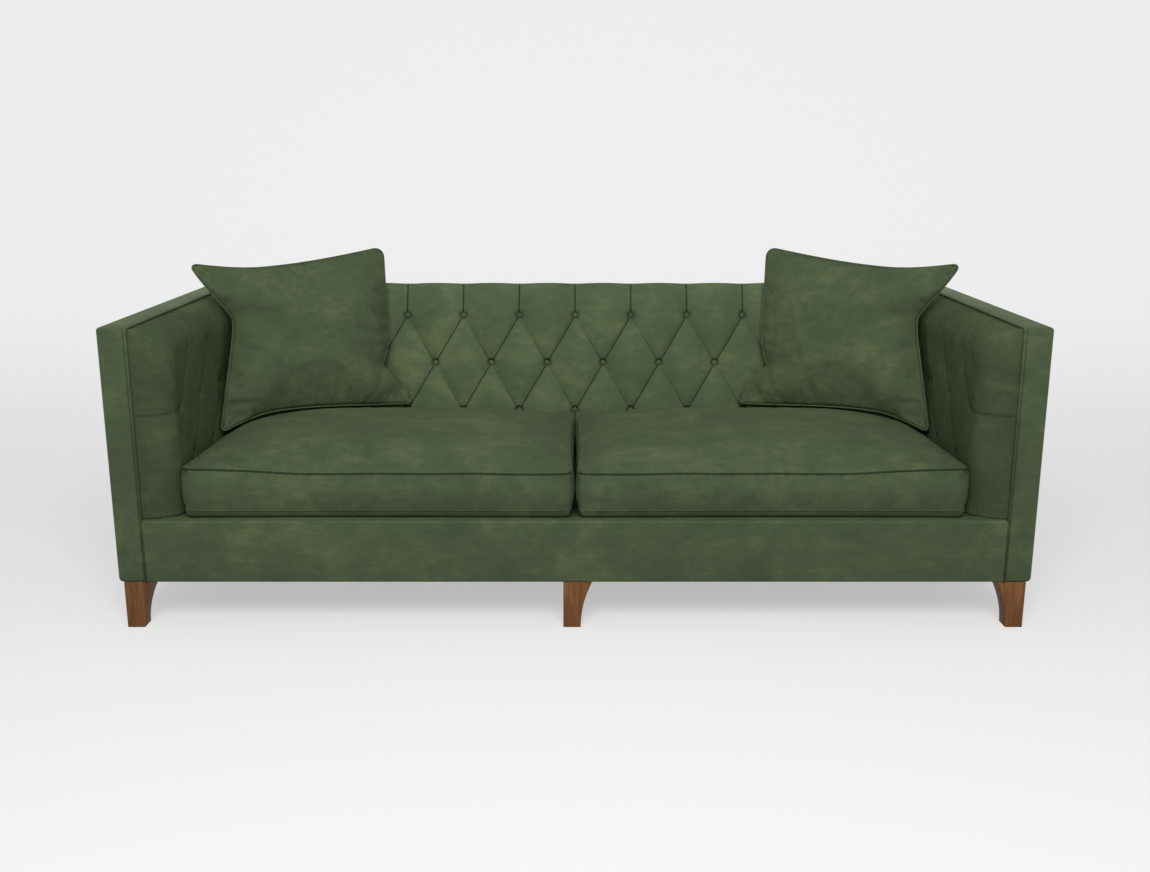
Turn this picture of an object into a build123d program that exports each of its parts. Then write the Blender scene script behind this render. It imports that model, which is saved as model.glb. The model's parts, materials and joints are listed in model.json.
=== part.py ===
from build123d import *

import math
import os

# A four-seat sofa with arms and back of one height, deep-buttoned inside, on a hardwood frame,
# with two loose seat cushions and two loose scatter cushions.
# Millimetres. +X is to the right of someone looking at its front, +Y towards its back, +Z up.
# The origin is on the floor, under the middle of the footprint. Left is the -X side.

# Overall sizes
WIDTH = 2300.0
DEPTH = 950.0
ARM_HEIGHT = 768.0
FOOT_HEIGHT = 122.0
DECK_HEIGHT = 284.0
BACK_RAKE = 14.0

# Covers, boards and trims
COVER = 4.0
BOARD = 4.0
BORDER = 8.0
BORDER_ROUND = 7.0
FRONT_BORDER = 12.0
FRONT_BORDER_LIP = 26.0
FRONT_BORDER_ROUND = 9.0
DUST_COVER = 1.5
DECK_CLOTH = 2.0
WEBBING = 2.0
WEBBING_WIDTH = 50.0
PIPING_RADIUS = 3.0
CLEARANCE = 0.3

# Timber frame
POST_WIDTH = 56.0
POST_DEPTH = 60.0
RAIL = 32.0
RAIL_TOP = 262.0
TOP_RAIL_HEIGHT = 40.0
STAY_RAIL_HEIGHT = 30.0
STAY_RAIL_GAP = 6.0
CROSS_RAIL_HEIGHT = 60.0
CROSS_RAIL_SPACING = 543.0
CORNER_BLOCK = 90.0
CORNER_BLOCK_HEIGHT = 60.0

# Frame bolts and foot fixings
BOLT_RADIUS = 4.0
BOLT_LENGTH = 110.0
BOLT_HEAD_RADIUS = 8.0
BOLT_HEAD = 5.0
BOLT_EDGE = 36.0
HOLE_CLEARANCE = 0.1
HANGER_RADIUS = 4.0
HANGER_IN_FOOT = 36.0
NUT_BARREL_RADIUS = 5.2
NUT_BARREL = 24.0
NUT_FLANGE_RADIUS = 11.0
NUT_FLANGE = 1.5

# Feet
FOOT_TOP = 73.0
FOOT_SOLE = 44.0
FOOT_INSET = 3.0
FOOT_SIDE_INSET = 12.0
FOOT_CENTRE_SHIFT = 7.0

# Seat springs
SPRING_WIRE = 3.8
SPRING_RUN = 28.0
SPRING_LOOP_PITCH = 48.0
SPRING_SPACING = 118.0
SPRING_EDGE = 150.0
CLIP_WALL = 1.5
CLIP_WIDTH = 20.0
CLIP_LENGTH = 16.0

# Buttoned pads
PAD = 95.0
PAD_ROLL = 70.0
BUTTON_PITCH = 170.0
ROW_PITCH = 140.0
TOP_ROW_DROP = 80.0
ARM_FIRST_BUTTON = 110.0
BUTTON_MARGIN = 90.0
PLEAT_DEPTH = 16.0
BUTTON_DEPTH = 38.0
PLEAT_FADE = 30.0
BUTTON_RADIUS = 10.0
BUTTON_HEIGHT = 7.0
BUTTON_ROUND = 4.0
BUTTON_SEAT = 12.0
BUTTON_SINK = 1.0
BUTTON_PULL = 1.5

# Seat cushions
SEAT_FRONT_SETBACK = 12.0
SEAT_THICKNESS = 112.0
SEAT_CROWN = 38.0
SEAT_FULLNESS = 8.0
SEAT_DRAW = 5.0
SEAT_BELLY = 4.0
SEAT_CORNER = 22.0
SEAT_GAP = 3.0
CENTRE_GAP = 4.0
SEAT_WRAP = 14.0
CORE_SLOPE = 131.0
CORE_CLEARANCE = 0.3

# Scatter cushions
SCATTER_WIDTH = 581.0
SCATTER_HEIGHT = 480.0
SCATTER_BULGE = 78.0
SCATTER_FULLNESS = 2.6
SCATTER_SIDE_DRAW = 70.0
SCATTER_END_DRAW = 30.0
SCATTER_CORNER = 16.0
SCATTER_YAW = 31.5
SCATTER_TILT = 17.0
SCATTER_SPIN = 2.2
SCATTER_ARM_GAP = 6.0
SCATTER_BACK_GAP = 1.0
SCATTER_WRAP = 24.0

# Planes that the pieces share
HALF = WIDTH / 2
FRONT = -DEPTH / 2
REAR = DEPTH / 2
BOARD_X = HALF - COVER
POST_X = BOARD_X - BOARD
FRAME_X = POST_X - POST_WIDTH
PAD_X = FRAME_X - WEBBING
POST_FRONT = FRONT + BORDER
POST_BACK = POST_FRONT + POST_DEPTH
RAIL_FRONT = FRONT + FRONT_BORDER
TIMBER_REAR = REAR - COVER - BOARD
FRAME_BOTTOM = FOOT_HEIGHT + DUST_COVER
FRAME_TOP = ARM_HEIGHT - BORDER
TOP_RAIL_BOTTOM = FRAME_TOP - TOP_RAIL_HEIGHT
BACK_TOP_Y = TIMBER_REAR - POST_WIDTH - WEBBING
RAKE = math.tan(math.radians(BACK_RAKE))
STAY_BOTTOM = DECK_HEIGHT + STAY_RAIL_GAP
STAY_TOP = STAY_BOTTOM + STAY_RAIL_HEIGHT
PAD_TOP = FRAME_TOP - CLEARANCE
PAD_BOTTOM = DECK_HEIGHT + CLEARANCE
ARM_CREST_X = PAD_X - PAD
TOP_ROW = ARM_HEIGHT - TOP_ROW_DROP
MIDDLE_ROW = TOP_ROW - ROW_PITCH
LOW_ROW = MIDDLE_ROW - ROW_PITCH
CLIP_HEIGHT = SPRING_WIRE + 2 * CLIP_WALL


def back_plane(z):
    """The raked plane that carries the back pad, as a y for each height."""
    return BACK_TOP_Y - (FRAME_TOP - z) * RAKE


BACK_FOOT_Y = back_plane(DECK_HEIGHT) + WEBBING
BACK_CREST_Y = back_plane(LOW_ROW) - PAD
parts = {}


def block(x, y, z):
    """A box between two x, two y and two z values."""
    size = (x[1] - x[0], y[1] - y[0], z[1] - z[0])
    return Pos(x[0], y[0], z[0]) * Box(*size, align=(Align.MIN, Align.MIN, Align.MIN))


def side_profile(points, x0, x1):
    """A solid whose outline is given in (y, z) and that runs from x0 to x1."""
    face = Face(Wire.make_polygon([(x0, y, z) for y, z in points]))
    return Solid.extrude(face, Vector(x1 - x0, 0, 0))


def across(shape):
    """The same shape on the other side of the sofa."""
    return mirror(shape, about=Plane.YZ)


def add(name, *shapes):
    """Files the solids of one piece, or of a group of like pieces, under its name."""
    solids = [s for shape in shapes for s in shape.solids()]
    parts[name] = solids[0] if len(solids) == 1 else Compound(children=solids)


def add_pair(name, right):
    add(name + "_right", right)
    add(name + "_left", across(right))


def upright_cylinder(x, y, z0, z1, radius):
    return Pos(x, y, z0) * Cylinder(radius, z1 - z0, align=(Align.CENTER, Align.CENTER, Align.MIN))


def sideways_cylinder(x0, x1, y, z, radius):
    rod = Cylinder(radius, x1 - x0, align=(Align.CENTER, Align.CENTER, Align.MIN))
    return Pos(x0, y, z) * Rot(0, 90, 0) * rod


# Feet: outer faces plumb, inner faces curving in to a smaller sole
FOOT_X = HALF - FOOT_SIDE_INSET - FOOT_TOP / 2
FOOT_Y = REAR - FOOT_INSET - FOOT_TOP / 2
FOOT_PLACES = {
    "front_left": (-FOOT_X, -FOOT_Y),
    "front_centre": (FOOT_CENTRE_SHIFT, -FOOT_Y),
    "front_right": (FOOT_X, -FOOT_Y),
    "rear_left": (-FOOT_X, FOOT_Y),
    "rear_centre": (FOOT_CENTRE_SHIFT, FOOT_Y),
    "rear_right": (FOOT_X, FOOT_Y),
}


def fixing_y(foot_y):
    """A foot's bolt stands under the middle of the rail there, a little off the foot's own middle."""
    return RAIL_FRONT + RAIL / 2 if foot_y < 0 else TIMBER_REAR - RAIL / 2


def foot_profile():
    """Side view of a foot, standing on its outer edge at 0, with the other edge an arc plumb at the sole."""
    flare = FOOT_TOP - FOOT_SOLE
    radius = (FOOT_HEIGHT**2 + flare**2) / (2 * flare)
    half_turn = math.atan2(FOOT_HEIGHT, radius - flare) / 2
    middle = (FOOT_SOLE + radius * (1 - math.cos(half_turn)), radius * math.sin(half_turn))
    edges = [
        Line((0, 0), (FOOT_SOLE, 0)),
        ThreePointArc((FOOT_SOLE, 0), middle, (FOOT_TOP, FOOT_HEIGHT)),
        Line((FOOT_TOP, FOOT_HEIGHT), (0, FOOT_HEIGHT)),
        Line((0, FOOT_HEIGHT), (0, 0)),
    ]
    return make_face(edges)


def foot():
    """A foot for the right rear corner, with its outer faces at +x and +y."""
    seen_from_front = extrude(Plane.XZ * foot_profile(), FOOT_TOP, both=True)
    seen_from_side = extrude(Plane.YZ * foot_profile(), FOOT_TOP, both=True)
    return Pos(FOOT_TOP / 2, FOOT_TOP / 2, 0) * Rot(0, 0, 180) * (seen_from_front & seen_from_side)


def make_feet():
    rear_right = foot()
    rear_left = across(rear_right)
    kinds = {
        "front_left": mirror(rear_left, about=Plane.XZ),
        "front_centre": mirror(rear_left, about=Plane.XZ),
        "front_right": mirror(rear_right, about=Plane.XZ),
        "rear_left": rear_left,
        "rear_centre": rear_left,
        "rear_right": rear_right,
    }
    bolts, nuts = [], []
    for place, (x, foot_y) in FOOT_PLACES.items():
        y = fixing_y(foot_y)
        start = FOOT_HEIGHT - HANGER_IN_FOOT
        hole = upright_cylinder(x, y, start, FOOT_HEIGHT, HANGER_RADIUS + HOLE_CLEARANCE)
        add("foot_" + place, Pos(x, foot_y, 0) * kinds[place] - hole)
        bolts.append(upright_cylinder(x, y, start, FRAME_BOTTOM + NUT_BARREL, HANGER_RADIUS))
        barrel = upright_cylinder(x, y, FRAME_BOTTOM, FRAME_BOTTOM + NUT_BARREL, NUT_BARREL_RADIUS)
        flange = upright_cylinder(x, y, FRAME_BOTTOM, FRAME_BOTTOM + NUT_FLANGE, NUT_FLANGE_RADIUS)
        bore = upright_cylinder(
            x, y, FRAME_BOTTOM, FRAME_BOTTOM + NUT_BARREL, HANGER_RADIUS + HOLE_CLEARANCE
        )
        nuts.append(barrel + flange - bore)
    add("foot_hanger_bolts", *bolts)
    add("foot_tee_nuts", *nuts)


def nut_pockets():
    """The holes for the feet's nuts, in whatever timber stands over them."""
    pockets = []
    for x, foot_y in FOOT_PLACES.values():
        y = fixing_y(foot_y)
        top = FRAME_BOTTOM + NUT_BARREL + HOLE_CLEARANCE
        pockets.append(upright_cylinder(x, y, FRAME_BOTTOM, top, NUT_BARREL_RADIUS + HOLE_CLEARANCE))
        top = FRAME_BOTTOM + NUT_FLANGE + HOLE_CLEARANCE
        pockets.append(upright_cylinder(x, y, FRAME_BOTTOM, top, NUT_FLANGE_RADIUS + HOLE_CLEARANCE))
    return pockets


# Timber frame
BOLT_HEIGHTS = (FRAME_BOTTOM + BOLT_EDGE, RAIL_TOP - BOLT_EDGE)
BOLT_ROWS = (RAIL_FRONT + RAIL / 2, TIMBER_REAR - RAIL / 2)


def frame_bolts(grow):
    """Bolts through the posts into the ends of the front and rear rails; grown, they are their holes."""
    bolts = []
    for y in BOLT_ROWS:
        for z in BOLT_HEIGHTS:
            tip, neck = POST_X - BOLT_LENGTH - grow, POST_X - BOLT_HEAD
            shank = sideways_cylinder(tip, neck, y, z, BOLT_RADIUS + grow)
            head = sideways_cylinder(neck - grow, POST_X, y, z, BOLT_HEAD_RADIUS + grow)
            bolts += [shank + head, across(shank + head)]
    return bolts


def raked_piece(depth, z0, z1, x0, x1):
    """Timber whose front follows the raked back plane, a webbing's thickness behind the pad."""
    front0, front1 = back_plane(z0) + WEBBING, back_plane(z1) + WEBBING
    points = [(front0, z0), (front0 + depth, z0), (front1 + depth, z1), (front1, z1)]
    return side_profile(points, x0, x1)


def back_upright(x0, x1, bottom, top):
    """An upright with a plumb rear edge and a front edge that is plumb to the deck and raked above it."""
    points = [
        (TIMBER_REAR, bottom),
        (BACK_FOOT_Y, bottom),
        (BACK_FOOT_Y, DECK_HEIGHT),
        (back_plane(top) + WEBBING, top),
        (TIMBER_REAR, top),
    ]
    return side_profile(points, x0, x1)


def arm_rail(x0, x1, z0, z1):
    """A rail from the front post to the raked front of the rear post."""
    end0, end1 = back_plane(z0) + WEBBING, back_plane(z1) + WEBBING
    points = [(POST_BACK, z0), (end0, z0), (end1, z1), (POST_BACK, z1)]
    return side_profile(points, x0, x1)


def corner_block(x, y, step_x, step_y):
    """A triangular block in a corner of the seat frame, reaching along both of its sides."""
    points = [(x, y), (x + step_x * CORNER_BLOCK, y), (x, y + step_y * CORNER_BLOCK)]
    face = Face(Wire.make_polygon([(px, py, FRAME_BOTTOM) for px, py in points]))
    return Solid.extrude(face, Vector(0, 0, CORNER_BLOCK_HEIGHT))


def make_frame():
    rail_z = (FRAME_BOTTOM, RAIL_TOP)
    holes = frame_bolts(HOLE_CLEARANCE) + nut_pockets()
    front_rail = block((-FRAME_X, FRAME_X), (RAIL_FRONT, RAIL_FRONT + RAIL), rail_z)
    rear_rail = block((-FRAME_X, FRAME_X), (TIMBER_REAR - RAIL, TIMBER_REAR), rail_z)
    front_post = block((FRAME_X, POST_X), (POST_FRONT, POST_BACK), (FRAME_BOTTOM, FRAME_TOP))
    rear_post = back_upright(FRAME_X, POST_X, FRAME_BOTTOM, FRAME_TOP)
    add("front_rail", front_rail - holes)
    add("rear_rail", rear_rail - holes)
    add_pair("arm_front_post", front_post - holes)
    add_pair("back_corner_post", rear_post - holes)
    add("frame_bolts", *frame_bolts(0))

    side_x = POST_X - RAIL
    add_pair("side_rail", block((side_x, POST_X), (POST_BACK, BACK_FOOT_Y), rail_z))
    spring_rail_front = BACK_FOOT_Y - RAIL
    add("spring_rail", block((-side_x, side_x), (spring_rail_front, BACK_FOOT_Y), rail_z))
    add_pair("arm_top_rail", arm_rail(FRAME_X, POST_X, TOP_RAIL_BOTTOM, FRAME_TOP))

    top_points = [
        (TIMBER_REAR, TOP_RAIL_BOTTOM),
        (back_plane(TOP_RAIL_BOTTOM) + WEBBING, TOP_RAIL_BOTTOM),
        (back_plane(FRAME_TOP) + WEBBING, FRAME_TOP),
        (TIMBER_REAR, FRAME_TOP),
    ]
    add("back_top_rail", side_profile(top_points, -FRAME_X, FRAME_X))

    centres = [-CROSS_RAIL_SPACING, 0.0, CROSS_RAIL_SPACING]
    cross_z = (FRAME_BOTTOM, FRAME_BOTTOM + CROSS_RAIL_HEIGHT)
    cross_rails, uprights = [], []
    for x in centres:
        sides = (x - RAIL / 2, x + RAIL / 2)
        cross_rails.append(block(sides, (RAIL_FRONT + RAIL, spring_rail_front), cross_z))
        cross_rails.append(block(sides, (BACK_FOOT_Y, TIMBER_REAR - RAIL), cross_z))
        uprights.append(back_upright(*sides, RAIL_TOP, TOP_RAIL_BOTTOM))
    add("seat_cross_rails", *cross_rails)
    add("back_uprights", *uprights)

    arm_stay = arm_rail(FRAME_X, FRAME_X + RAIL, STAY_BOTTOM, STAY_TOP)
    stays = [arm_stay, across(arm_stay)]
    edges = [-FRAME_X] + [x + side * RAIL / 2 for x in centres for side in (-1, 1)] + [FRAME_X]
    for start, end in zip(edges[::2], edges[1::2]):
        stays.append(raked_piece(RAIL, STAY_BOTTOM, STAY_TOP, start, end))
    add("stay_rails", *stays)

    front_block = corner_block(FRAME_X, RAIL_FRONT + RAIL, -1, 1)
    rear_block = corner_block(side_x, spring_rail_front, -1, -1)
    add("corner_blocks", front_block, across(front_block), rear_block, across(rear_block))


# Seat springs, webbing and the deck
SPRING_Z = RAIL_TOP + CLIP_HEIGHT / 2
SPRING_FRONT = RAIL_FRONT + RAIL - CLIP_LENGTH / 2
SPRING_REAR = BACK_FOOT_Y - RAIL + CLIP_LENGTH / 2


def zigzag_spring():
    """One flat spring along y: straight runs across it, joined by half turns."""
    span = SPRING_REAR - SPRING_FRONT
    gaps = round(span / (SPRING_LOOP_PITCH / 2))
    turn = span / gaps / 2
    reach = SPRING_RUN / 2
    edges = []
    for i in range(gaps + 1):
        y = SPRING_FRONT + 2 * turn * i
        side = 1 if i % 2 == 0 else -1
        end = (side * reach, y, SPRING_Z)
        edges.append(Line((-side * reach, y, SPRING_Z), end))
        if i < gaps:
            middle = (side * (reach + turn), y + turn, SPRING_Z)
            edges.append(ThreePointArc(end, middle, (side * reach, y + 2 * turn, SPRING_Z)))
    start = Plane((-reach, SPRING_FRONT, SPRING_Z), x_dir=(0, 1, 0), z_dir=(1, 0, 0))
    return sweep(start * Circle(SPRING_WIRE / 2), path=Wire(edges))


def make_springs():
    spring = zigzag_spring()
    count = int((FRAME_X - SPRING_EDGE) // SPRING_SPACING)
    places = [SPRING_SPACING * (i + 0.5) for i in range(-count, count)]
    add("seat_springs", *[Pos(x, 0, 0) * spring for x in places])
    clips = []
    for x in places:
        for y in (SPRING_FRONT, SPRING_REAR):
            body = block(
                (x - CLIP_WIDTH / 2, x + CLIP_WIDTH / 2),
                (y - CLIP_LENGTH / 2, y + CLIP_LENGTH / 2),
                (RAIL_TOP, RAIL_TOP + CLIP_HEIGHT),
            )
            hole = SPRING_WIRE / 2 + HOLE_CLEARANCE
            clips.append(body - sideways_cylinder(x - CLIP_WIDTH, x + CLIP_WIDTH, y, SPRING_Z, hole))
    add("spring_clips", *clips)


def make_webbing():
    low, high = STAY_TOP, TOP_RAIL_BOTTOM
    count = int((high - low) // (2 * WEBBING_WIDTH))
    step = (high - low) / count
    reach = FRAME_X + POST_WIDTH / 2
    straps = []
    for i in range(count):
        z0 = low + step * (i + 0.5) - WEBBING_WIDTH / 2
        z1 = z0 + WEBBING_WIDTH
        points = [(back_plane(z), z) for z in (z0, z1)] + [(back_plane(z) + WEBBING, z) for z in (z1, z0)]
        straps.append(side_profile(points, -reach, reach))
    add("back_webbing", *straps)

    run = (POST_BACK, back_plane(STAY_BOTTOM))
    count = int((run[1] - run[0]) // (2 * WEBBING_WIDTH))
    step = (run[1] - run[0]) / count
    straps = []
    for i in range(count):
        y = run[0] + step * (i + 0.5)
        sides = (y - WEBBING_WIDTH / 2, y + WEBBING_WIDTH / 2)
        strap = block((PAD_X, FRAME_X), sides, (STAY_BOTTOM, FRAME_TOP))
        straps += [strap, across(strap)]
    add("arm_webbing", *straps)


def make_deck():
    front = RAIL_FRONT + FRONT_BORDER_LIP
    cloth_bottom = DECK_HEIGHT - DECK_CLOTH
    x, y = (-FRAME_X, FRAME_X), (front, BACK_FOOT_Y - WEBBING)
    add("deck_pad", block(x, y, (RAIL_TOP + CLIP_HEIGHT, cloth_bottom)))
    add("deck_cloth", block(x, y, (cloth_bottom, DECK_HEIGHT)))
    reach = PAD_X - 2 * PIPING_RADIUS
    points = [
        (FRONT, FOOT_HEIGHT),
        (FRONT, DECK_HEIGHT),
        (front, DECK_HEIGHT),
        (front, RAIL_TOP + CLIP_HEIGHT),
        (RAIL_FRONT, RAIL_TOP + CLIP_HEIGHT),
        (RAIL_FRONT, FOOT_HEIGHT),
    ]
    border = side_profile(points, -reach, reach)
    top_edge = border.edges().filter_by(Axis.X).group_by(Axis.Y)[0].sort_by(Axis.Z)[-1]
    add("front_border", border.fillet(FRONT_BORDER_ROUND, [top_edge]))


# Outside covers, borders and trim
def make_outside():
    side_z = (FRAME_BOTTOM, FRAME_TOP)
    arm_board = block((POST_X, BOARD_X), (POST_FRONT, TIMBER_REAR), side_z)
    back_board = block((-BOARD_X, BOARD_X), (TIMBER_REAR, REAR - COVER), side_z)
    add("outside_boards", arm_board, across(arm_board), back_board)
    cover_z = (FOOT_HEIGHT, FRAME_TOP)
    add_pair("outside_arm_cover", block((BOARD_X, HALF), (POST_FRONT, REAR - COVER), cover_z))
    add("outside_back_cover", block((-HALF, HALF), (REAR - COVER, REAR), cover_z))

    points = [
        (FRONT, FOOT_HEIGHT),
        (FRONT, ARM_HEIGHT),
        (REAR, ARM_HEIGHT),
        (REAR, FRAME_TOP),
        (POST_FRONT, FRAME_TOP),
        (POST_FRONT, FOOT_HEIGHT),
    ]
    arm_border = side_profile(points, PAD_X, HALF)
    corner = arm_border.edges().filter_by(Axis.X).group_by(Axis.Y)[0].sort_by(Axis.Z)[-1]
    add_pair("arm_border", arm_border.fillet(BORDER_ROUND, [corner]))
    add("back_top_border", block((-PAD_X, PAD_X), (BACK_TOP_Y, REAR), (FRAME_TOP, ARM_HEIGHT)))

    sheet = block((-BOARD_X, BOARD_X), (RAIL_FRONT, REAR - COVER), (FOOT_HEIGHT, FRAME_BOTTOM))
    holes = [
        upright_cylinder(x, fixing_y(y), FOOT_HEIGHT, FRAME_BOTTOM, HANGER_RADIUS + HOLE_CLEARANCE)
        for x, y in FOOT_PLACES.values()
    ]
    add("dust_cover", sheet - holes)


def make_border_piping():
    """One cord along the borders' inner edge: up the left arm, round the back and down the right arm."""
    x = PAD_X - PIPING_RADIUS
    front, top = FRONT + PIPING_RADIUS, ARM_HEIGHT - PIPING_RADIUS
    back = BACK_TOP_Y - PIPING_RADIUS
    points = [
        (-x, front, FOOT_HEIGHT),
        (-x, front, top),
        (-x, back, top),
        (x, back, top),
        (x, front, top),
        (x, front, FOOT_HEIGHT),
    ]
    path = FilletPolyline(*points, radius=3 * PIPING_RADIUS)
    add("border_piping", sweep(Plane(points[0], z_dir=(0, 0, 1)) * Circle(PIPING_RADIUS), path=path))


# Buttoned pads
ROLL_ANGLES = (0.0, 25.0, 50.0, 75.0)


def roll(distance):
    """Share of a pad's thickness at a distance from its rolled edge: a quarter ellipse."""
    left = 1 - min(distance / PAD_ROLL, 1.0)
    return math.sqrt(1 - left**2)


def roll_steps():
    return [PAD_ROLL * (1 - math.cos(math.radians(angle))) for angle in ROLL_ANGLES]


def vault(pitches):
    """1 in the middle of a diamond and 0 on its pleats, across one direction of pleats."""
    return 1 - (2 * (pitches - round(pitches))) ** 2


def tuft(pitches, z, first, last):
    """How much pleats and buttons take off a pad at a place along it, in button pitches, and a height.
    Past the first and last buttons, and past the top and low rows, the pleats run straight on."""
    rows = (z - MIDDLE_ROW) / (2 * ROW_PITCH)
    along = min(max(pitches, first), last)
    up = min(max(rows, -0.5), 0.5)
    rising, falling = vault(along - up), vault(along + up)
    past = math.hypot((pitches - along) * BUTTON_PITCH, (rows - up) * 2 * ROW_PITCH)
    near_button = ((1 - rising) * (1 - falling)) ** BUTTON_PULL * math.exp(-((past / PLEAT_FADE) ** 2))
    return PLEAT_DEPTH * (1 - rising * falling) + (BUTTON_DEPTH - PLEAT_DEPTH) * near_button


def pad_rows():
    """Heights of a pad's lattice: half rows between its buttons, and closer ones up its rolled top."""
    steps = int((LOW_ROW - PAD_BOTTOM) // (ROW_PITCH / 2))
    low = [LOW_ROW - ROW_PITCH / 2 * i for i in range(steps, 0, -1)]
    rolled = [PAD_TOP - step for step in reversed(roll_steps())]
    rows = [LOW_ROW + ROW_PITCH / 2 * i for i in range(5)]
    return [PAD_BOTTOM] + low + rows + [z for z in rolled if z > rows[-1] + CLEARANCE]


def facet_solid(front, back, seams):
    """A closed solid of flat facets: a lattice of front points over a flat back, split along its valleys.
    seams holds the outlines of its flat sides, as loops of points."""
    faces = []
    for low, high, low_back, high_back in zip(front, front[1:], back, back[1:]):
        for i in range(len(low) - 1):
            corners = (low[i], low[i + 1], high[i + 1], high[i])
            behind = (low_back[i], low_back[i + 1], high_back[i + 1], high_back[i])
            depths = [(p - q).length for p, q in zip(corners, behind)]
            on_back = [depth < CLEARANCE / 100 for depth in depths]
            valley = depths[0] + depths[2] < depths[1] + depths[3]
            flap = on_back[0] and on_back[2] and (on_back[1] or on_back[3])
            splits = [(0, 1, 2), (0, 2, 3)] if valley and not flap else [(0, 1, 3), (1, 2, 3)]
            faces += [Face(Wire.make_polygon([corners[k] for k in split])) for split in splits]
    faces += [Face(Wire.make_polygon(loop)) for loop in seams]
    return Solid(Shell(faces))


def loop_of(there, back):
    """A closed loop along one line of points and back along another, with shared ends taken once."""
    points = list(there)
    for point in reversed(back):
        if all((point - other).length > CLEARANCE / 100 for other in points):
            points.append(point)
    return points


def octagon_seat(centre, direction):
    """An eight-sided pocket for a button, open towards the room."""
    plane = Plane(centre, z_dir=direction)
    return extrude(plane * RegularPolygon(BUTTON_SEAT, 8), PAD)


def button(centre, direction):
    disc = Cylinder(BUTTON_RADIUS, BUTTON_HEIGHT, align=(Align.CENTER, Align.CENTER, Align.MIN))
    domed = fillet(disc.edges().sort_by(Axis.Z)[-1], BUTTON_ROUND)
    return Plane(centre, z_dir=direction).location * domed


BUTTON_LEVEL = PAD - BUTTON_DEPTH - BUTTON_SINK


def make_back_pad():
    count = int((ARM_CREST_X - BUTTON_MARGIN) // BUTTON_PITCH)
    reach = 4 * count + 2
    columns = [BUTTON_PITCH / 4 * i for i in range(-reach, reach + 1)]
    front, back = [], []
    for z in pad_rows():
        base = back_plane(z)
        lean = max(LOW_ROW - z, 0) * RAKE
        edge = roll(PAD_TOP - z) * (PAD - lean)
        end = PAD_X - CLEARANCE
        row = [Vector(edge - end, base - edge, z)]
        for x in columns:
            depth = roll(PAD_TOP - z) * (PAD - lean - tuft(x / BUTTON_PITCH, z, -count, count))
            row.append(Vector(x, base - depth, z))
        row.append(Vector(end - edge, base - edge, z))
        front.append(row)
        back.append([Vector(-end, base, z)] + [Vector(x, base, z) for x in columns] + [Vector(end, base, z)])
    bottom = loop_of(front[0], back[0])
    left = loop_of([row[0] for row in front], [row[0] for row in back])
    right = loop_of([row[-1] for row in front], [row[-1] for row in back])
    rear_edge = [row[0] for row in back] + back[-1][1:-1] + [row[-1] for row in reversed(back)]
    rear = loop_of(rear_edge, back[0][1:-1])
    solid = facet_solid(front, back, [bottom, left, right, rear])

    places = [(BUTTON_PITCH * i, z) for i in range(-count, count + 1) for z in (TOP_ROW, LOW_ROW)]
    places += [(BUTTON_PITCH * (i + 0.5), MIDDLE_ROW) for i in range(-count, count)]
    centres = [Vector(x, back_plane(z) - BUTTON_LEVEL, z) for x, z in places]
    towards = (0, -1, 0)
    add("back_pad", solid - [octagon_seat(centre, towards) for centre in centres])
    add("back_buttons", *[button(centre, towards) for centre in centres])


def make_arm_pads():
    first_y = FRONT + ARM_FIRST_BUTTON
    crest_end = back_plane(LOW_ROW) - PAD
    count = int((crest_end - BUTTON_MARGIN - first_y) // BUTTON_PITCH) + 1
    pad_front = POST_FRONT + CLEARANCE
    quarters = int((crest_end - BUTTON_MARGIN / 2 - first_y) // (BUTTON_PITCH / 4))
    rolled = [pad_front + step for step in roll_steps()]
    columns = rolled + [first_y + BUTTON_PITCH / 4 * i for i in range(quarters + 1)]
    last = count - 0.5
    front, back = [], []
    for z in pad_rows():
        top = roll(PAD_TOP - z)
        end = back_plane(z) - CLEARANCE
        row = []
        for y in columns:
            pitches = (y - first_y) / BUTTON_PITCH + 0.5
            depth = top * roll(y - pad_front) * (PAD - tuft(pitches, z, 0.5, last))
            row.append(Vector(PAD_X - depth, y, z))
        row.append(Vector(PAD_X - top * PAD, end - top * PAD, z))
        front.append(row)
        back.append([Vector(PAD_X, y, z) for y in columns] + [Vector(PAD_X, end, z)])
    bottom = loop_of(front[0], back[0])
    mitre = loop_of([row[-1] for row in front], [row[-1] for row in back])
    rear_edge = [row[0] for row in back] + back[-1][1:-1] + [row[-1] for row in reversed(back)]
    rear = loop_of(rear_edge, back[0][1:-1])
    solid = facet_solid(front, back, [bottom, mitre, rear])

    places = [(first_y + BUTTON_PITCH * i, MIDDLE_ROW) for i in range(count)]
    places += [(first_y + BUTTON_PITCH * (i + 0.5), z) for i in range(count - 1) for z in (TOP_ROW, LOW_ROW)]
    centres = [Vector(PAD_X - BUTTON_LEVEL, y, z) for y, z in places]
    towards = (-1, 0, 0)
    add_pair("arm_pad", solid - [octagon_seat(centre, towards) for centre in centres])
    buttons = [button(centre, towards) for centre in centres]
    add("arm_buttons", *buttons, *[across(one) for one in buttons])


# Loose cushions
CROWN_STEPS = (0.0, 0.10, 0.26, 0.48, 0.74)
CROWN_SOFTENING = 0.22
SETTLING_STEPS = 6


def cushion_outline(width, depth, side_draw, end_draw, corner):
    """A four-sided outline whose sides are arcs drawn in between rounded corners."""
    x, y = width / 2, depth / 2
    corners = [(-x, -y), (x, -y), (x, y), (-x, y)]
    middles = [(0, end_draw - y), (x - side_draw, 0), (0, y - end_draw), (side_draw - x, 0)]
    arcs = [ThreePointArc(corners[i], middles[i], corners[(i + 1) % 4]) for i in range(4)]
    face = make_face(arcs)
    return fillet(face.vertices(), corner)


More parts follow.
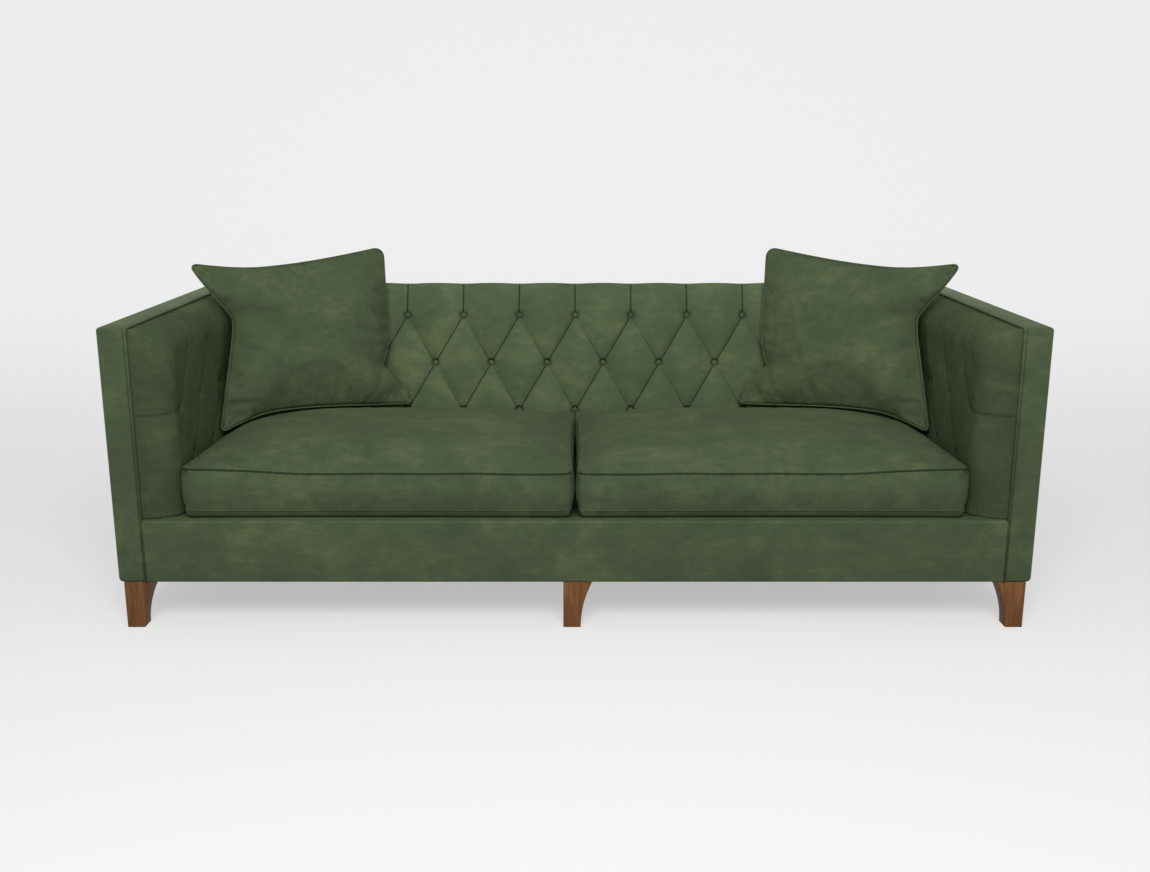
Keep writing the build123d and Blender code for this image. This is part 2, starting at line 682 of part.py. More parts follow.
def crowned(width, depth, side_draw, end_draw, corner, height, fullness):
    """A crown over a cushion's outline: the fuller it is, the quicker it swells from the seam."""
    sections = []
    for share in CROWN_STEPS:
        left = 1 - share
        softer = corner + share * CROWN_SOFTENING * min(width, depth) * left
        face = cushion_outline(width * left, depth * left, side_draw * left**2, end_draw * left**2, softer)
        sections.append(Pos(0, 0, height * (1 - left**fullness)) * face)
    return loft(sections)


def boxed_cushion():
    """A seat cushion: a bellied border under a crowned top."""
    seam = cushion_outline(SEAT_WIDTH, SEAT_DEPTH, SEAT_DRAW, SEAT_DRAW, SEAT_CORNER)
    grow = 2 * SEAT_BELLY
    belly = cushion_outline(
        SEAT_WIDTH + grow, SEAT_DEPTH + grow, SEAT_DRAW, SEAT_DRAW, SEAT_CORNER + SEAT_BELLY
    )
    border = loft([seam, Pos(0, 0, SEAT_THICKNESS / 2) * belly, Pos(0, 0, SEAT_THICKNESS) * seam])
    crown = crowned(
        SEAT_WIDTH, SEAT_DEPTH, SEAT_DRAW, SEAT_DRAW, SEAT_CORNER, SEAT_CROWN, SEAT_FULLNESS
    )
    return border + Pos(0, 0, SEAT_THICKNESS) * crown


def stepped_block(levels):
    """A flat-faced block through rectangles, each given as half width, half depth and height."""
    rings = [[Vector(i * x, j * y, z) for i, j in ((-1, -1), (1, -1), (1, 1), (-1, 1))] for x, y, z in levels]
    loops = [rings[0], rings[-1]]
    for low, high in zip(rings, rings[1:]):
        loops += [(low[i - 1], low[i], high[i], high[i - 1]) for i in range(4)]
    return Solid(Shell([Face(Wire.make_polygon(loop)) for loop in loops]))


def seat_core(shrink):
    """The foam block of a seat cushion, with its top edges sloped off under the crown."""
    inset = SEAT_WRAP + shrink
    x, y = SEAT_WIDTH / 2 - inset, SEAT_DEPTH / 2 - inset
    top = SEAT_THICKNESS + SEAT_CROWN / 2
    levels = [(x, y, inset), (x, y, SEAT_THICKNESS - inset), (x - CORE_SLOPE, y - CORE_SLOPE, top - inset)]
    return stepped_block(levels)


def piping_ring(outline):
    """A cord round the outside of a cushion's seam."""
    path = offset(outline, PIPING_RADIUS + CLEARANCE).face().outer_wire()
    start = path.position_at(0)
    return sweep(Plane(start, z_dir=path.tangent_at(0)) * Circle(PIPING_RADIUS), path=path)


PIPING_REACH = 2 * PIPING_RADIUS + CLEARANCE
SEAT_INNER = CENTRE_GAP / 2 + PIPING_REACH
SEAT_OUTER = ARM_CREST_X - SEAT_GAP - PIPING_REACH
SEAT_WIDTH = SEAT_OUTER - SEAT_INNER
SEAT_FRONT = FRONT + SEAT_FRONT_SETBACK + PIPING_REACH
SEAT_DEPTH = BACK_CREST_Y - SEAT_GAP - PIPING_REACH - SEAT_FRONT
SEAT_BOTTOM = DECK_HEIGHT + CLEARANCE + PIPING_RADIUS
SEAT_TOP = SEAT_BOTTOM + SEAT_THICKNESS


def make_seat_cushions():
    place = Pos((SEAT_INNER + SEAT_OUTER) / 2, SEAT_FRONT + SEAT_DEPTH / 2, SEAT_BOTTOM)
    add_pair("seat_cover", place * (boxed_cushion() - seat_core(0)))
    add_pair("seat_core", place * seat_core(CORE_CLEARANCE))
    ring = piping_ring(cushion_outline(SEAT_WIDTH, SEAT_DEPTH, SEAT_DRAW, SEAT_DRAW, SEAT_CORNER))
    rings = Compound(children=[place * ring, place * Pos(0, 0, SEAT_THICKNESS) * ring])
    add_pair("seat_piping", rings)


def scatter_cushion():
    """A knife-edged cushion, bulging to both sides of its seam."""
    half = crowned(
        SCATTER_WIDTH,
        SCATTER_HEIGHT,
        SCATTER_SIDE_DRAW,
        SCATTER_END_DRAW,
        SCATTER_CORNER,
        SCATTER_BULGE,
        SCATTER_FULLNESS,
    )
    return half + mirror(half, about=Plane.XY)


def scatter_filling(shrink):
    """The inner pad of a scatter cushion, as a flat-faced block inside the bulge."""
    inset = SCATTER_WRAP + shrink
    x = SCATTER_WIDTH / 2 - SCATTER_SIDE_DRAW - inset
    y = SCATTER_HEIGHT / 2 - SCATTER_END_DRAW - inset
    reach = SCATTER_BULGE / 2 - shrink
    slope = SCATTER_BULGE
    return stepped_block([(x - slope, y - slope, -reach), (x, y, 0), (x - slope, y - slope, reach)])


def scatter_plane():
    """How the right scatter cushion leans, in the corner of the right arm and the back, clear of the seat."""
    yaw, tilt, spin = (math.radians(angle) for angle in (SCATTER_YAW, SCATTER_TILT, SCATTER_SPIN))
    level = Vector(-math.cos(yaw), math.sin(yaw), 0)
    normal = Vector(-math.sin(yaw) * math.cos(tilt), -math.cos(yaw) * math.cos(tilt), math.sin(tilt))
    rise = level.cross(normal)
    low_edge = level * math.cos(spin) + rise * math.sin(spin)
    upward = rise * math.cos(spin) - level * math.sin(spin)
    outer = Vector(ARM_CREST_X - SCATTER_ARM_GAP, 0, SEAT_TOP + 2 * SEAT_CROWN)
    inner = outer + low_edge * SCATTER_WIDTH
    shift = BACK_CREST_Y - SCATTER_BACK_GAP - inner.Y
    centre = outer + low_edge * (SCATTER_WIDTH / 2) + upward * (SCATTER_HEIGHT / 2) + Vector(0, shift, 0)
    return Plane(centre, x_dir=low_edge, z_dir=low_edge.cross(upward))


def settling(shape, support):
    """How far a shape sinks until it rests on what carries it."""
    drop = 0.0
    for _ in range(SETTLING_STEPS):
        drop += (Pos(0, 0, -drop) * shape).distance_to(support) - CLEARANCE
    return drop


def make_scatter_cushions():
    outline = cushion_outline(
        SCATTER_WIDTH, SCATTER_HEIGHT, SCATTER_SIDE_DRAW, SCATTER_END_DRAW, SCATTER_CORNER
    )
    leaning = scatter_plane().location
    ring = piping_ring(outline)
    place = Pos(0, 0, -settling(leaning * ring, parts["seat_cover_right"])) * leaning
    add_pair("scatter_cover", place * (scatter_cushion() - scatter_filling(0)))
    add_pair("scatter_filling", place * scatter_filling(CORE_CLEARANCE))
    add_pair("scatter_piping", place * ring)


make_feet()
make_frame()
make_springs()
make_webbing()
make_deck()
make_outside()
make_border_piping()
make_back_pad()
make_arm_pads()
make_seat_cushions()
make_scatter_cushions()

os.makedirs("parts", exist_ok=True)
for name, shape in parts.items():
    export_step(shape, f"parts/{name}.step")
print(len(parts), "pieces written")
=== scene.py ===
import json
import math

import bmesh
import bpy
from bpy.props import FloatProperty, PointerProperty, StringProperty
from bpy.types import Operator, Panel, PropertyGroup
from mathutils import Matrix, Vector, noise


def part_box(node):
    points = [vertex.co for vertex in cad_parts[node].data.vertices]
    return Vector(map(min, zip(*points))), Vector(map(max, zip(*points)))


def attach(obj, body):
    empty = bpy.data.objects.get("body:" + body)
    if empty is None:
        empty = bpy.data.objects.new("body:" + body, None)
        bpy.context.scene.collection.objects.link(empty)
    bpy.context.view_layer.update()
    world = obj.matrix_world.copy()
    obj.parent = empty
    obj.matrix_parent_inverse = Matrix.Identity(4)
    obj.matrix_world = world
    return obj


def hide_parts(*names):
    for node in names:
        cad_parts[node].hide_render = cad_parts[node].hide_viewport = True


bl_info = {
    "name": "Deep-Buttoned Sofa",
    "version": (1, 0, 0),
    "blender": (4, 5, 0),
    "location": "3D View > Sidebar > Sofa",
    "description": "Dresses a sofa's frame with velvet, piping, buttons and loose cushions",
    "category": "Object",
}

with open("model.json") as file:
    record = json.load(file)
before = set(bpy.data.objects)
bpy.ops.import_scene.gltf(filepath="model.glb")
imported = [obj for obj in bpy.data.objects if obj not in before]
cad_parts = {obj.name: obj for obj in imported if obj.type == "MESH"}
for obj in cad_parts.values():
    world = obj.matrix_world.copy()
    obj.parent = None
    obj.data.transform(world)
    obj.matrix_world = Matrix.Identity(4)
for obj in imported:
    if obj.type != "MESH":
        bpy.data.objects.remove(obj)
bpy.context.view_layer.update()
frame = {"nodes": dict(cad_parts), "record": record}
SIDES = ("left", "right")
MM = 0.001


# Sizes and colours that a user would change
def length(name, description, millimetres):
    return FloatProperty(name=name, description=description, default=millimetres * MM, unit="LENGTH")


def colour(name, description, hex_code):
    return StringProperty(name=name, description=description, default=hex_code)


class SofaSizes(PropertyGroup):
    piping: length("Piping", "Radius of the cord along the borders", 3.4)
    scatter_piping: length("Scatter piping", "Radius of the cord round a scatter cushion", 2.4)
    seam_cord: length("Seat seam", "Radius of the thin cord in a seat cushion's seams", 2.5)
    button: length("Button", "Radius of a covered button", 7.5)
    button_rise: length("Button rise", "How far a button's dome stands off its CAD place", 7.5)
    pleat: length("Pleat depth", "How deep the pleats between buttons lie", 14)
    dimple: length("Button depth", "How deep the buttons are pulled in", 32)
    pillow: length("Pillow edge", "How far a diamond takes to swell from its pleat", 9)
    back_crest: length("Back crest", "How far the back's rolled top swells upwards", 37)
    arm_crest: length("Arm crest", "How far an arm's rolled top swells upwards", 10)
    edge: length("Edge round", "Rounding of the borders' edges", 7.6)
    seat_crown: length("Seat crown", "Height of a seat cushion's crown over its seam", 61)
    seat_plump: length("Seat corner", "How far a seat's outer front corner is plumped up", 12)
    scatter_width: length("Scatter width", "Corner to corner along a scatter cushion", 581)
    scatter_height: length("Scatter height", "Corner to corner up a scatter cushion", 480)
    scatter_bulge: length("Scatter bulge", "How far a scatter cushion swells to each side", 60)


class SofaColours(PropertyGroup):
    velvet_shade: colour("Velvet shade", "Where the pile lies away from the light", "#455039")
    # Painted shade: the dark colour that the velvet is painted along each pleat's fold
    velvet_painted_fold_shade: colour("Velvet folds", "The dark line where two pleats meet", "#1D2416")
    velvet: colour("Velvet", "The velvet's main green", "#4D5840")
    velvet_light: colour("Velvet light", "Where the pile is brushed towards the light", "#5C6748")
    wood_dark: colour("Wood grain", "The dark lines of the grain", "#57371F")
    wood: colour("Wood", "The stain between the grain lines", "#754E2D")
    wood_light: colour("Wood light", "The palest streaks of the stain", "#885C36")
    backdrop: colour("Backdrop", "The studio floor and wall", "#F2F2F2")


def sizes():
    return bpy.context.scene.sofa_sizes


def colours():
    return bpy.context.scene.sofa_colours


# Materials
def linear(hex_code, gain=1.0):
    """An sRGB hex colour as linear red, green, blue and alpha."""
    values = [int(hex_code[i : i + 2], 16) / 255 for i in (1, 3, 5)]
    return [gain * (v / 12.92 if v <= 0.04045 else ((v + 0.055) / 1.055) ** 2.4) for v in values] + [1.0]


def per_metre(millimetres):
    """The scale of a pattern whose features are that many millimetres across."""
    return 1000 / millimetres


def add_node(tree, kind, inputs=None, stops=(), output=0, **settings):
    """Adds a node with its settings, and gives its first output, or the one that is named.
    An input is a value or another node's output to link; stops are a ramp's positions and colours."""
    node = tree.nodes.new("ShaderNode" + kind)
    for name, value in settings.items():
        setattr(node, name, value)
    for socket, value in (inputs or {}).items():
        if isinstance(value, bpy.types.NodeSocket):
            tree.links.new(value, node.inputs[socket])
        else:
            node.inputs[socket].default_value = value
    for _ in stops[2:]:
        node.color_ramp.elements.new(0.5)
    for i, (position, value) in enumerate(stops):
        node.color_ramp.elements[i].position = position
        node.color_ramp.elements[i].color = value
    return node.outputs[output]


def new_material(name, **values):
    """A material with a Principled shader, whose constant values go straight on its sockets."""
    material = bpy.data.materials.new(name)
    material.use_nodes = True
    tree = material.node_tree
    shader = tree.nodes["Principled BSDF"]
    for socket, value in values.items():
        shader.inputs[socket.replace("_", " ")].default_value = value
    return material, tree, shader


# Attributes with which the velvet paints shade: a thin dark line along each pleat's fold, and a darker pit
# round each button
PLEAT_LAYERS = ("pleat_rise", "pleat_rise_hold", "pleat_fall", "pleat_fall_hold", "button_shade")


# How much lighter or darker each copy of the velvet is painted, as where more or less light falls, its
# sheen and its shine
PAINTED_LIGHT_COPIES = {"level": (1.0, 0.12, 0.08), "raised": (1.22, 0.12, 0.08), "laid": (0.83, 0.07, 0.0)}


def velvet(painted_light="level"):
    """Brushed cotton velvet: cloudy where its pile was pressed, streaked, with a soft sheen at its edges.
    On a buttoned pad, attributes paint shade as a thin dark line along each fold, and round each button."""
    name = "brushed_velvet_" + painted_light
    if name in bpy.data.materials:
        return bpy.data.materials[name]
    green = colours()
    gain, sheen, shine = PAINTED_LIGHT_COPIES[painted_light]
    glow = {"Sheen_Weight": sheen, "Sheen_Roughness": 0.4, "Sheen_Tint": linear("#A9B98C")}
    material, tree, shader = new_material(name, Roughness=0.85, Specular_IOR_Level=shine, **glow)
    place = add_node(tree, "TexCoord", output="Object")
    # Each pattern has a size in mm, a stretch, detail, roughness and distortion, and a weight in the tone.
    # The threads and the pile are far finer than a pixel, so they are drawn about 2 mm wide.
    cloth = {
        "clouds": (170, (1, 1, 1), 3.0, 0.5, 1.0, 0.36),
        "mottles": (42, (0.7, 1, 1), 5.0, 0.62, 0.8, 0.30),
        "brushing": (13, (0.22, 0.7, 1.1), 4.0, 0.6, 0.6, 0.16),
        "weft": (2.4, (0.12, 1, 1), 2.0, 0.6, 0.0, 0.09),
        "warp": (2.4, (1, 0.12, 0.12), 2.0, 0.6, 0.0, 0.09),
    }
    patterns, weave = {}, 0.0
    for label, (size, stretch, detail, roughness, distortion, weight) in cloth.items():
        turned = add_node(tree, "Mapping", {"Vector": place, "Scale": stretch})
        inputs = {"Vector": turned, "Scale": per_metre(size), "Detail": detail}
        inputs.update({"Roughness": roughness, "Distortion": distortion})
        patterns[label] = add_node(tree, "TexNoise", inputs)
        inputs = {0: patterns[label], 1: weight, 2: weave}
        weave = add_node(tree, "Math", inputs, operation="MULTIPLY_ADD")
    tones = (green.velvet_shade, green.velvet, green.velvet_light)
    # The gain paints this copy lighter or darker, as where more or less light falls
    stops = [(level, linear(tone, gain)) for level, tone in zip((0.38, 0.5, 0.63), tones)]
    pile = add_node(tree, "ValToRGB", {"Fac": weave}, stops)

    # Painted shade: darker round each button, and a thin dark line along each pleat's fold where the cover
    # creases
    painted_fold_shade = add_node(tree, "Attribute", attribute_name="button_shade", output="Fac")
    for line in ("pleat_rise", "pleat_fall"):
        slant = add_node(tree, "Attribute", attribute_name=line, output="Fac")
        hold = add_node(tree, "Attribute", attribute_name=line + "_hold", output="Fac")
        share = add_node(tree, "Math", {0: slant}, operation="FRACT")
        off = add_node(tree, "Math", {0: share, 1: 0.5}, operation="SUBTRACT")
        near = add_node(tree, "Math", {0: off}, operation="ABSOLUTE")
        spread = {"Value": near, "From Min": 0.003, "From Max": 0.024, "To Min": 1.0, "To Max": 0.0}
        mark = add_node(tree, "MapRange", spread, interpolation_type="SMOOTHSTEP")
        held = add_node(tree, "Math", {0: mark, 1: hold}, operation="MULTIPLY")
        painted_fold_shade = add_node(tree, "Math", {0: held, 1: painted_fold_shade}, operation="MAXIMUM")
    # The painted shade mixes the pile towards the fold's dark colour
    painted_shade_mix = {"Factor": painted_fold_shade, "A": pile, "B": linear(green.velvet_painted_fold_shade)}
    pile_with_painted_shade = add_node(tree, "Mix", painted_shade_mix, output="Result", data_type="RGBA")
    tree.links.new(pile_with_painted_shade, shader.inputs["Base Color"])
    strokes = {"Height": patterns["brushing"], "Strength": 0.3, "Distance": 1.2 * MM}
    soft = add_node(tree, "Bump", strokes)
    threads = {"Height": patterns["weft"], "Strength": 0.3, "Distance": 0.3 * MM, "Normal": soft}
    tree.links.new(add_node(tree, "Bump", threads), shader.inputs["Normal"])
    return material


def stained_oak():
    """Oak, planed and stained brown: long dark grain lines up the foot under a satin lacquer."""
    name = "stained_oak"
    if name in bpy.data.materials:
        return bpy.data.materials[name]
    wood = colours()
    material, tree, shader = new_material(name, Roughness=0.55, Specular_IOR_Level=0.2)
    place = add_node(tree, "TexCoord", output="Object")
    along = add_node(tree, "Mapping", {"Vector": place, "Scale": (1, 1, 0.07)})
    inputs = {"Vector": along, "Scale": per_metre(5.5), "Detail": 6.0, "Roughness": 0.65}
    grain = add_node(tree, "TexNoise", inputs)
    inputs = {"Vector": along, "Scale": per_metre(26), "Detail": 2.0, "Distortion": 1.2}
    figure = add_node(tree, "TexNoise", inputs)
    both = add_node(tree, "Math", {0: grain, 1: figure}, operation="MULTIPLY")
    stops = [(0.12, linear(wood.wood_dark)), (0.27, linear(wood.wood)), (0.42, linear(wood.wood_light))]
    stain = add_node(tree, "ValToRGB", {"Fac": both}, stops)
    tree.links.new(stain, shader.inputs["Base Color"])
    pores = add_node(tree, "Bump", {"Height": grain, "Strength": 0.3, "Distance": 0.4 * MM})
    tree.links.new(pores, shader.inputs["Normal"])
    return material


# Finishes inside the frame, by slot: name, two tones, grain in mm, stretch, roughness and metallic
INNER_FINISHES = {
    # Beech, planed: pale, with fine lines along the timber
    "frame_timber": ("planed_beech", "#A98658", "#C9A876", 4, (1, 1, 0.12), 0.7, 0.0),
    # Pressed wood fibre: brown and flecked
    "hardboard": ("hardboard", "#6B4C2F", "#86633F", 2, (1, 1, 1), 0.8, 0.0),
    # Zinc-plated steel: a dull silver shine
    "bolt_steel": ("zinc_plate", "#8E8F8C", "#B4B4AE", 3, (1, 1, 1), 0.35, 1.0),
    # Drawn and tempered wire: dark, with an oily shine
    "spring_steel": ("spring_wire", "#2C2C2D", "#48484A", 3, (1, 1, 1), 0.4, 1.0),
    # Moulded nylon: milky white and smooth
    "clip_plastic": ("moulded_nylon", "#D5D4CC", "#E4E3DC", 1.5, (1, 1, 1), 0.5, 0.0),
    # Woven jute: coarse straw-coloured threads
    "webbing": ("jute_webbing", "#7C643F", "#B59A6B", 2, (1, 0.3, 1), 0.85, 0.0),
    # Plain cotton lining: dark green and flat, with a fine weave
    "deck_cloth": ("lining_cloth", "#2B3324", "#3B4531", 1.6, (1, 1, 1), 0.85, 0.0),
    # Felted waste cotton: off-white and lumpy
    "wadding": ("felted_wadding", "#C9C4B5", "#E2DDCF", 6, (1, 1, 1), 0.9, 0.0),
    # Cut polyether foam: cream with open cells
    "foam": ("cut_foam", "#D8CBA0", "#EBE0BB", 1.5, (1, 1, 1), 0.9, 0.0),
    # Down-proof cambric: close-woven white cotton
    "feather": ("cambric", "#DAD6CC", "#EDEAE2", 1.2, (1, 1, 1), 0.8, 0.0),
    # Spun-bonded polypropylene: thin matt black with pressed points
    "lining": ("spun_bonded_cloth", "#101010", "#1C1C1C", 1.4, (1, 1, 1), 0.85, 0.0),
}


def inner_finish(slot):
    """A finish inside the frame: two tones in a grain of a real size, and a bump to match."""
    name, low, high, grain_mm, stretch, roughness, metallic = INNER_FINISHES[slot]
    if name in bpy.data.materials:
        return bpy.data.materials[name]
    material, tree, shader = new_material(name, Roughness=roughness, Metallic=metallic)
    place = add_node(tree, "TexCoord", output="Object")
    turned = add_node(tree, "Mapping", {"Vector": place, "Scale": stretch})
    inputs = {"Vector": turned, "Scale": per_metre(grain_mm), "Detail": 5.0, "Roughness": 0.6}
    grain = add_node(tree, "TexNoise", inputs)
    stops = [(0.3, linear(low)), (0.7, linear(high))]
    tone = add_node(tree, "ValToRGB", {"Fac": grain}, stops)
    tree.links.new(tone, shader.inputs["Base Color"])
    bump = add_node(tree, "Bump", {"Height": grain, "Strength": 0.3, "Distance": 0.5 * MM})
    tree.links.new(bump, shader.inputs["Normal"])
    return material


# Pieces
def make_piece(name, bm, node, body="sofa_frame", material=None, sharp=None):
    """Turns a bmesh into a piece that stands for a CAD node and rides on a body."""
    mesh = bpy.data.meshes.new(name)
    bm.to_mesh(mesh)
    bm.free()
    mesh.shade_smooth()
    if sharp:
        mesh.set_sharp_from_angle(angle=math.radians(sharp))
    mesh.materials.append(material or velvet())
    piece = bpy.data.objects.new(name, mesh)
    bpy.context.collection.objects.link(piece)
    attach(piece, body)
    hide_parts(node)
    return piece


def mirrored(bm):
    """The same bmesh on the other side of the sofa, with its faces turned back outwards."""
    copy = bm.copy()
    bmesh.ops.scale(copy, vec=(-1, 1, 1), verts=copy.verts)
    bmesh.ops.reverse_faces(copy, faces=copy.faces)
    return copy


def face_outwards(bm):
    bmesh.ops.recalc_face_normals(bm, faces=bm.faces)
    if bm.calc_volume(signed=True) < 0:
        bmesh.ops.reverse_faces(bm, faces=bm.faces)


def rounded_block(low, high, edge, segments=4):
    """A box between two corners with rounded edges."""
    bm = bmesh.new()
    bmesh.ops.create_cube(bm, size=1)
    low, high = Vector(low), Vector(high)
    bmesh.ops.scale(bm, vec=high - low, verts=bm.verts)
    bmesh.ops.translate(bm, vec=(low + high) / 2, verts=bm.verts)
    round_edges(bm, bm.edges, edge, segments)
    return bm


def round_edges(bm, edges, width, segments=4):
    bmesh.ops.bevel(
        bm, geom=list(edges), offset=width, segments=segments, profile=0.5, affect="EDGES", material=-1
    )


def extruded_outline(points, start, end, axis=0):
    """A prism along x, whose outline is given in (y, z), or along y, whose outline is given in (x, z)."""
    bm = bmesh.new()
    corners = [(start, across, z) if axis == 0 else (across, start, z) for across, z in points]
    face = bm.faces.new([bm.verts.new(corner) for corner in corners])
    grown = bmesh.ops.extrude_face_region(bm, geom=[face])
    moved = [v for v in grown["geom"] if isinstance(v, bmesh.types.BMVert)]
    step = Vector()
    step[axis] = end - start
    bmesh.ops.translate(bm, vec=step, verts=moved)
    face_outwards(bm)
    return bm


def cord_mesh(lines, radius, closed):
    """Round cords along lines of points, as one bmesh."""
    data = bpy.data.curves.new("cord_path", "CURVE")
    data.dimensions = "3D"
    data.bevel_depth = radius
    data.bevel_resolution = 3
    data.use_fill_caps = not closed
    for points in lines:
        spline = data.splines.new("POLY")
        spline.points.add(len(points) - 1)
        for point, co in zip(spline.points, points):
            point.co = (*co, 1)
        spline.use_cyclic_u = closed
    holder = bpy.data.objects.new("cord_path", data)
    bm = bmesh.new()
    bm.from_mesh(bpy.data.meshes.new_from_object(holder))
    bpy.data.objects.remove(holder)
    bpy.data.curves.remove(data)
    bmesh.ops.remove_doubles(bm, verts=bm.verts, dist=radius / 50)
    face_outwards(bm)
    return bm


def turned_corners(points, radius, steps=6):
    """A route with a quarter turn of that radius at each inner point."""
    route = [Vector(points[0])]
    for before, corner, after in zip(points, points[1:], points[2:]):
        corner = Vector(corner)
        back = (Vector(before) - corner).normalized()
        ahead = (Vector(after) - corner).normalized()
        centre = corner + (back + ahead) * radius
        for i in range(steps + 1):
            angle = math.pi / 2 * i / steps
            route.append(centre - ahead * radius * math.cos(angle) - back * radius * math.sin(angle))
    route.append(Vector(points[-1]))
    return route


# Measures that the pads take from the frame
def islands(node):
    """The middle of each separate solid in a CAD node."""
    bm = bmesh.new()
    bm.from_mesh(frame["nodes"][node].data)
    bmesh.ops.remove_doubles(bm, verts=bm.verts, dist=MM / 100)
    left, centres = set(bm.verts), []
    while left:
        group, todo = set(), [left.pop()]
        while todo:
            vert = todo.pop()
            group.add(vert)
            near = {edge.other_vert(vert) for edge in vert.link_edges} & left
            left -= near
            todo += near
        low = Vector(min(v.co[i] for v in group) for i in range(3))
        high = Vector(max(v.co[i] for v in group) for i in range(3))
        centres.append((low + high) / 2)
    bm.free()
    return centres


class Buttoning:
    """Where the buttons of one pad are: their pitch and rows, read from the frame's own buttons."""

    def __init__(self, centres, run):
        heights = sorted({round(c.z, 4) for c in centres})
        self.low, self.middle, self.top = heights
        self.run = run
        middle_row = sorted(c[run] for c in centres if abs(c.z - self.middle) < MM)
        self.pitch = middle_row[1] - middle_row[0]
        self.start = middle_row[0] - self.pitch / 2
        everywhere = [c[run] for c in centres]
        self.first = (min(everywhere) - self.start) / self.pitch
        self.last = (max(everywhere) - self.start) / self.pitch

    def slants(self, along, height):
        """Counts along the rising and the falling pleats, which lie at halves, and the gap to a button."""
        pitches = (along - self.start) / self.pitch
        rows = (height - self.middle) / (self.top - self.low)
        held = min(max(pitches, self.first), self.last)
        up = min(max(rows, -0.5), 0.5)
        column = round(held * 2) / 2
        line = 0.0 if (column * 2) % 2 else math.copysign(0.5, up)
        gap = math.hypot((pitches - column) * self.pitch, (rows - line) * (self.top - self.low))
        # Past the last button in both directions, the cover swells again between its last two pleats.
        past = min(abs(pitches - held), abs(rows - up), 0.5)
        return held - up + past, held + up - past, gap

    def loss(self, along, height):
        """How far the cover is pulled in: sharp pleats, pillowed diamonds and funnels to the buttons."""
        size = sizes()
        rising, falling, gap = self.slants(along, height)
        reach = 1 / math.hypot(1 / self.pitch, 1 / (self.top - self.low))
        swell, vault = 1.0, 1.0
        for slant, softness in ((rising, 1.0), (falling, 2.4 - 1.2 * self.down_pleat(rising))):
            distance = (0.5 - abs(slant - round(slant))) * reach
            swell *= 1 - math.exp(-distance / (size.pillow * softness))
            vault *= 1 - (1 - 2 * distance / reach) ** 2
        pleat = size.pleat * (0.5 * (1 - swell) + 0.5 * (1 - vault))
        pit, funnel = 11.5 * MM, 24 * MM
        pull = 0.65 * math.exp(-((gap / pit) ** 4)) + 0.35 * math.exp(-gap / funnel)
        return pleat + (size.dimple - size.pleat) * pull

    def down_pleat(self, rising):
        """How far down its falling pleat a place is: 0 at the upper button and 1 at the lower."""
        return (rising - 0.5) % 1

    def marks(self, along, height, share, painted_line_strength):
        """What the velvet needs to paint shade along the folds and round the buttons there, in the order of
        PLEAT_LAYERS.
        The painted fold shade is crisp along rising pleats, and along falling ones only near their lower
        button."""
        rising, falling, gap = self.slants(along, height)
        # Painted fold shade: how dark the line along a fold is drawn
        line = min(2 * share, 1) * painted_line_strength
        # Painted shade round each button, in the pit where it pulls the cover in
        shade = 0.75 * share * math.exp(-((gap / (10 * MM)) ** 4))
        return rising, 0.8 * line, falling, (0.1 + 0.5 * self.down_pleat(rising)) * line, shade


def smooth_step(value):
    value = min(max(value, 0.0), 1.0)
    return value * value * (3 - 2 * value)


def cover_sheet(columns, rows, surface, buttons, run, hold, seam, painted_line_strength):
    """An open sheet of buttoned cover: a grid laid on a surface, and pulled in against its outward side.
    surface, hold and seam take shares from 0 to 1 along and up the pad. They give a point and its
    outward side, how much of the buttoning it feels, and how deep a seam draws it in there."""
    bm = bmesh.new()
    layers = [bm.verts.layers.float.new(name) for name in PLEAT_LAYERS]
    bmesh.ops.create_grid(bm, x_segments=columns, y_segments=rows, size=0.5)
    for vert in bm.verts:
        u, v = vert.co.x + 0.5, vert.co.y + 0.5
        point, outward = surface(u, v)
        share = hold(u, v)
        vert.co = point - outward * (buttons.loss(point[run], point.z) * share + seam(u, v))
        # With the marks for the velvet's painted shade along the folds and round the buttons
        for layer, value in zip(layers, buttons.marks(point[run], point.z, share, painted_line_strength)):
            vert[layer] = value
    return bm


def close_back(bm, flatten):
    """Closes a pad's open grid with a flat back."""
    rim = [edge for edge in bm.edges if edge.is_boundary]
    grown = bmesh.ops.extrude_edge_only(bm, edges=rim)["geom"]
    for vert in (v for v in grown if isinstance(v, bmesh.types.BMVert)):
        vert.co = flatten(vert.co)
    bmesh.ops.remove_doubles(bm, verts=[v for v in bm.verts if v.is_boundary], dist=MM / 20)
    bmesh.ops.contextual_create(bm, geom=[edge for edge in bm.edges if edge.is_boundary])
    face_outwards(bm)


PAD_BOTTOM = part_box("back_pad")[0].z
PAD_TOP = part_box("back_pad")[1].z
PAD_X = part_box("arm_pad_right")[1].x
PAD = PAD_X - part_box("arm_pad_right")[0].x
ARM_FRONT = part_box("arm_pad_right")[0].y
BACK_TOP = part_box("back_pad")[1].y
BACK_RAKE = math.tan(math.radians(14))
# The radius of a pad's rolled top and front, and the length of that top for each metre of its radius
ROLL = 70 * MM
ROLL_LENGTH = 1.45
# The seam where the arm and back pads meet, and how far from it the cover is drawn in
SEAM_DEPTH = 3 * MM
SEAM_REACH = 10 * MM
# The size of a mesh cell on a pad
CELL = 3.7 * MM


def back_plane(z):
    """The plane that carries the back pad, as a y for each height."""
    return BACK_TOP - (PAD_TOP - z) * BACK_RAKE


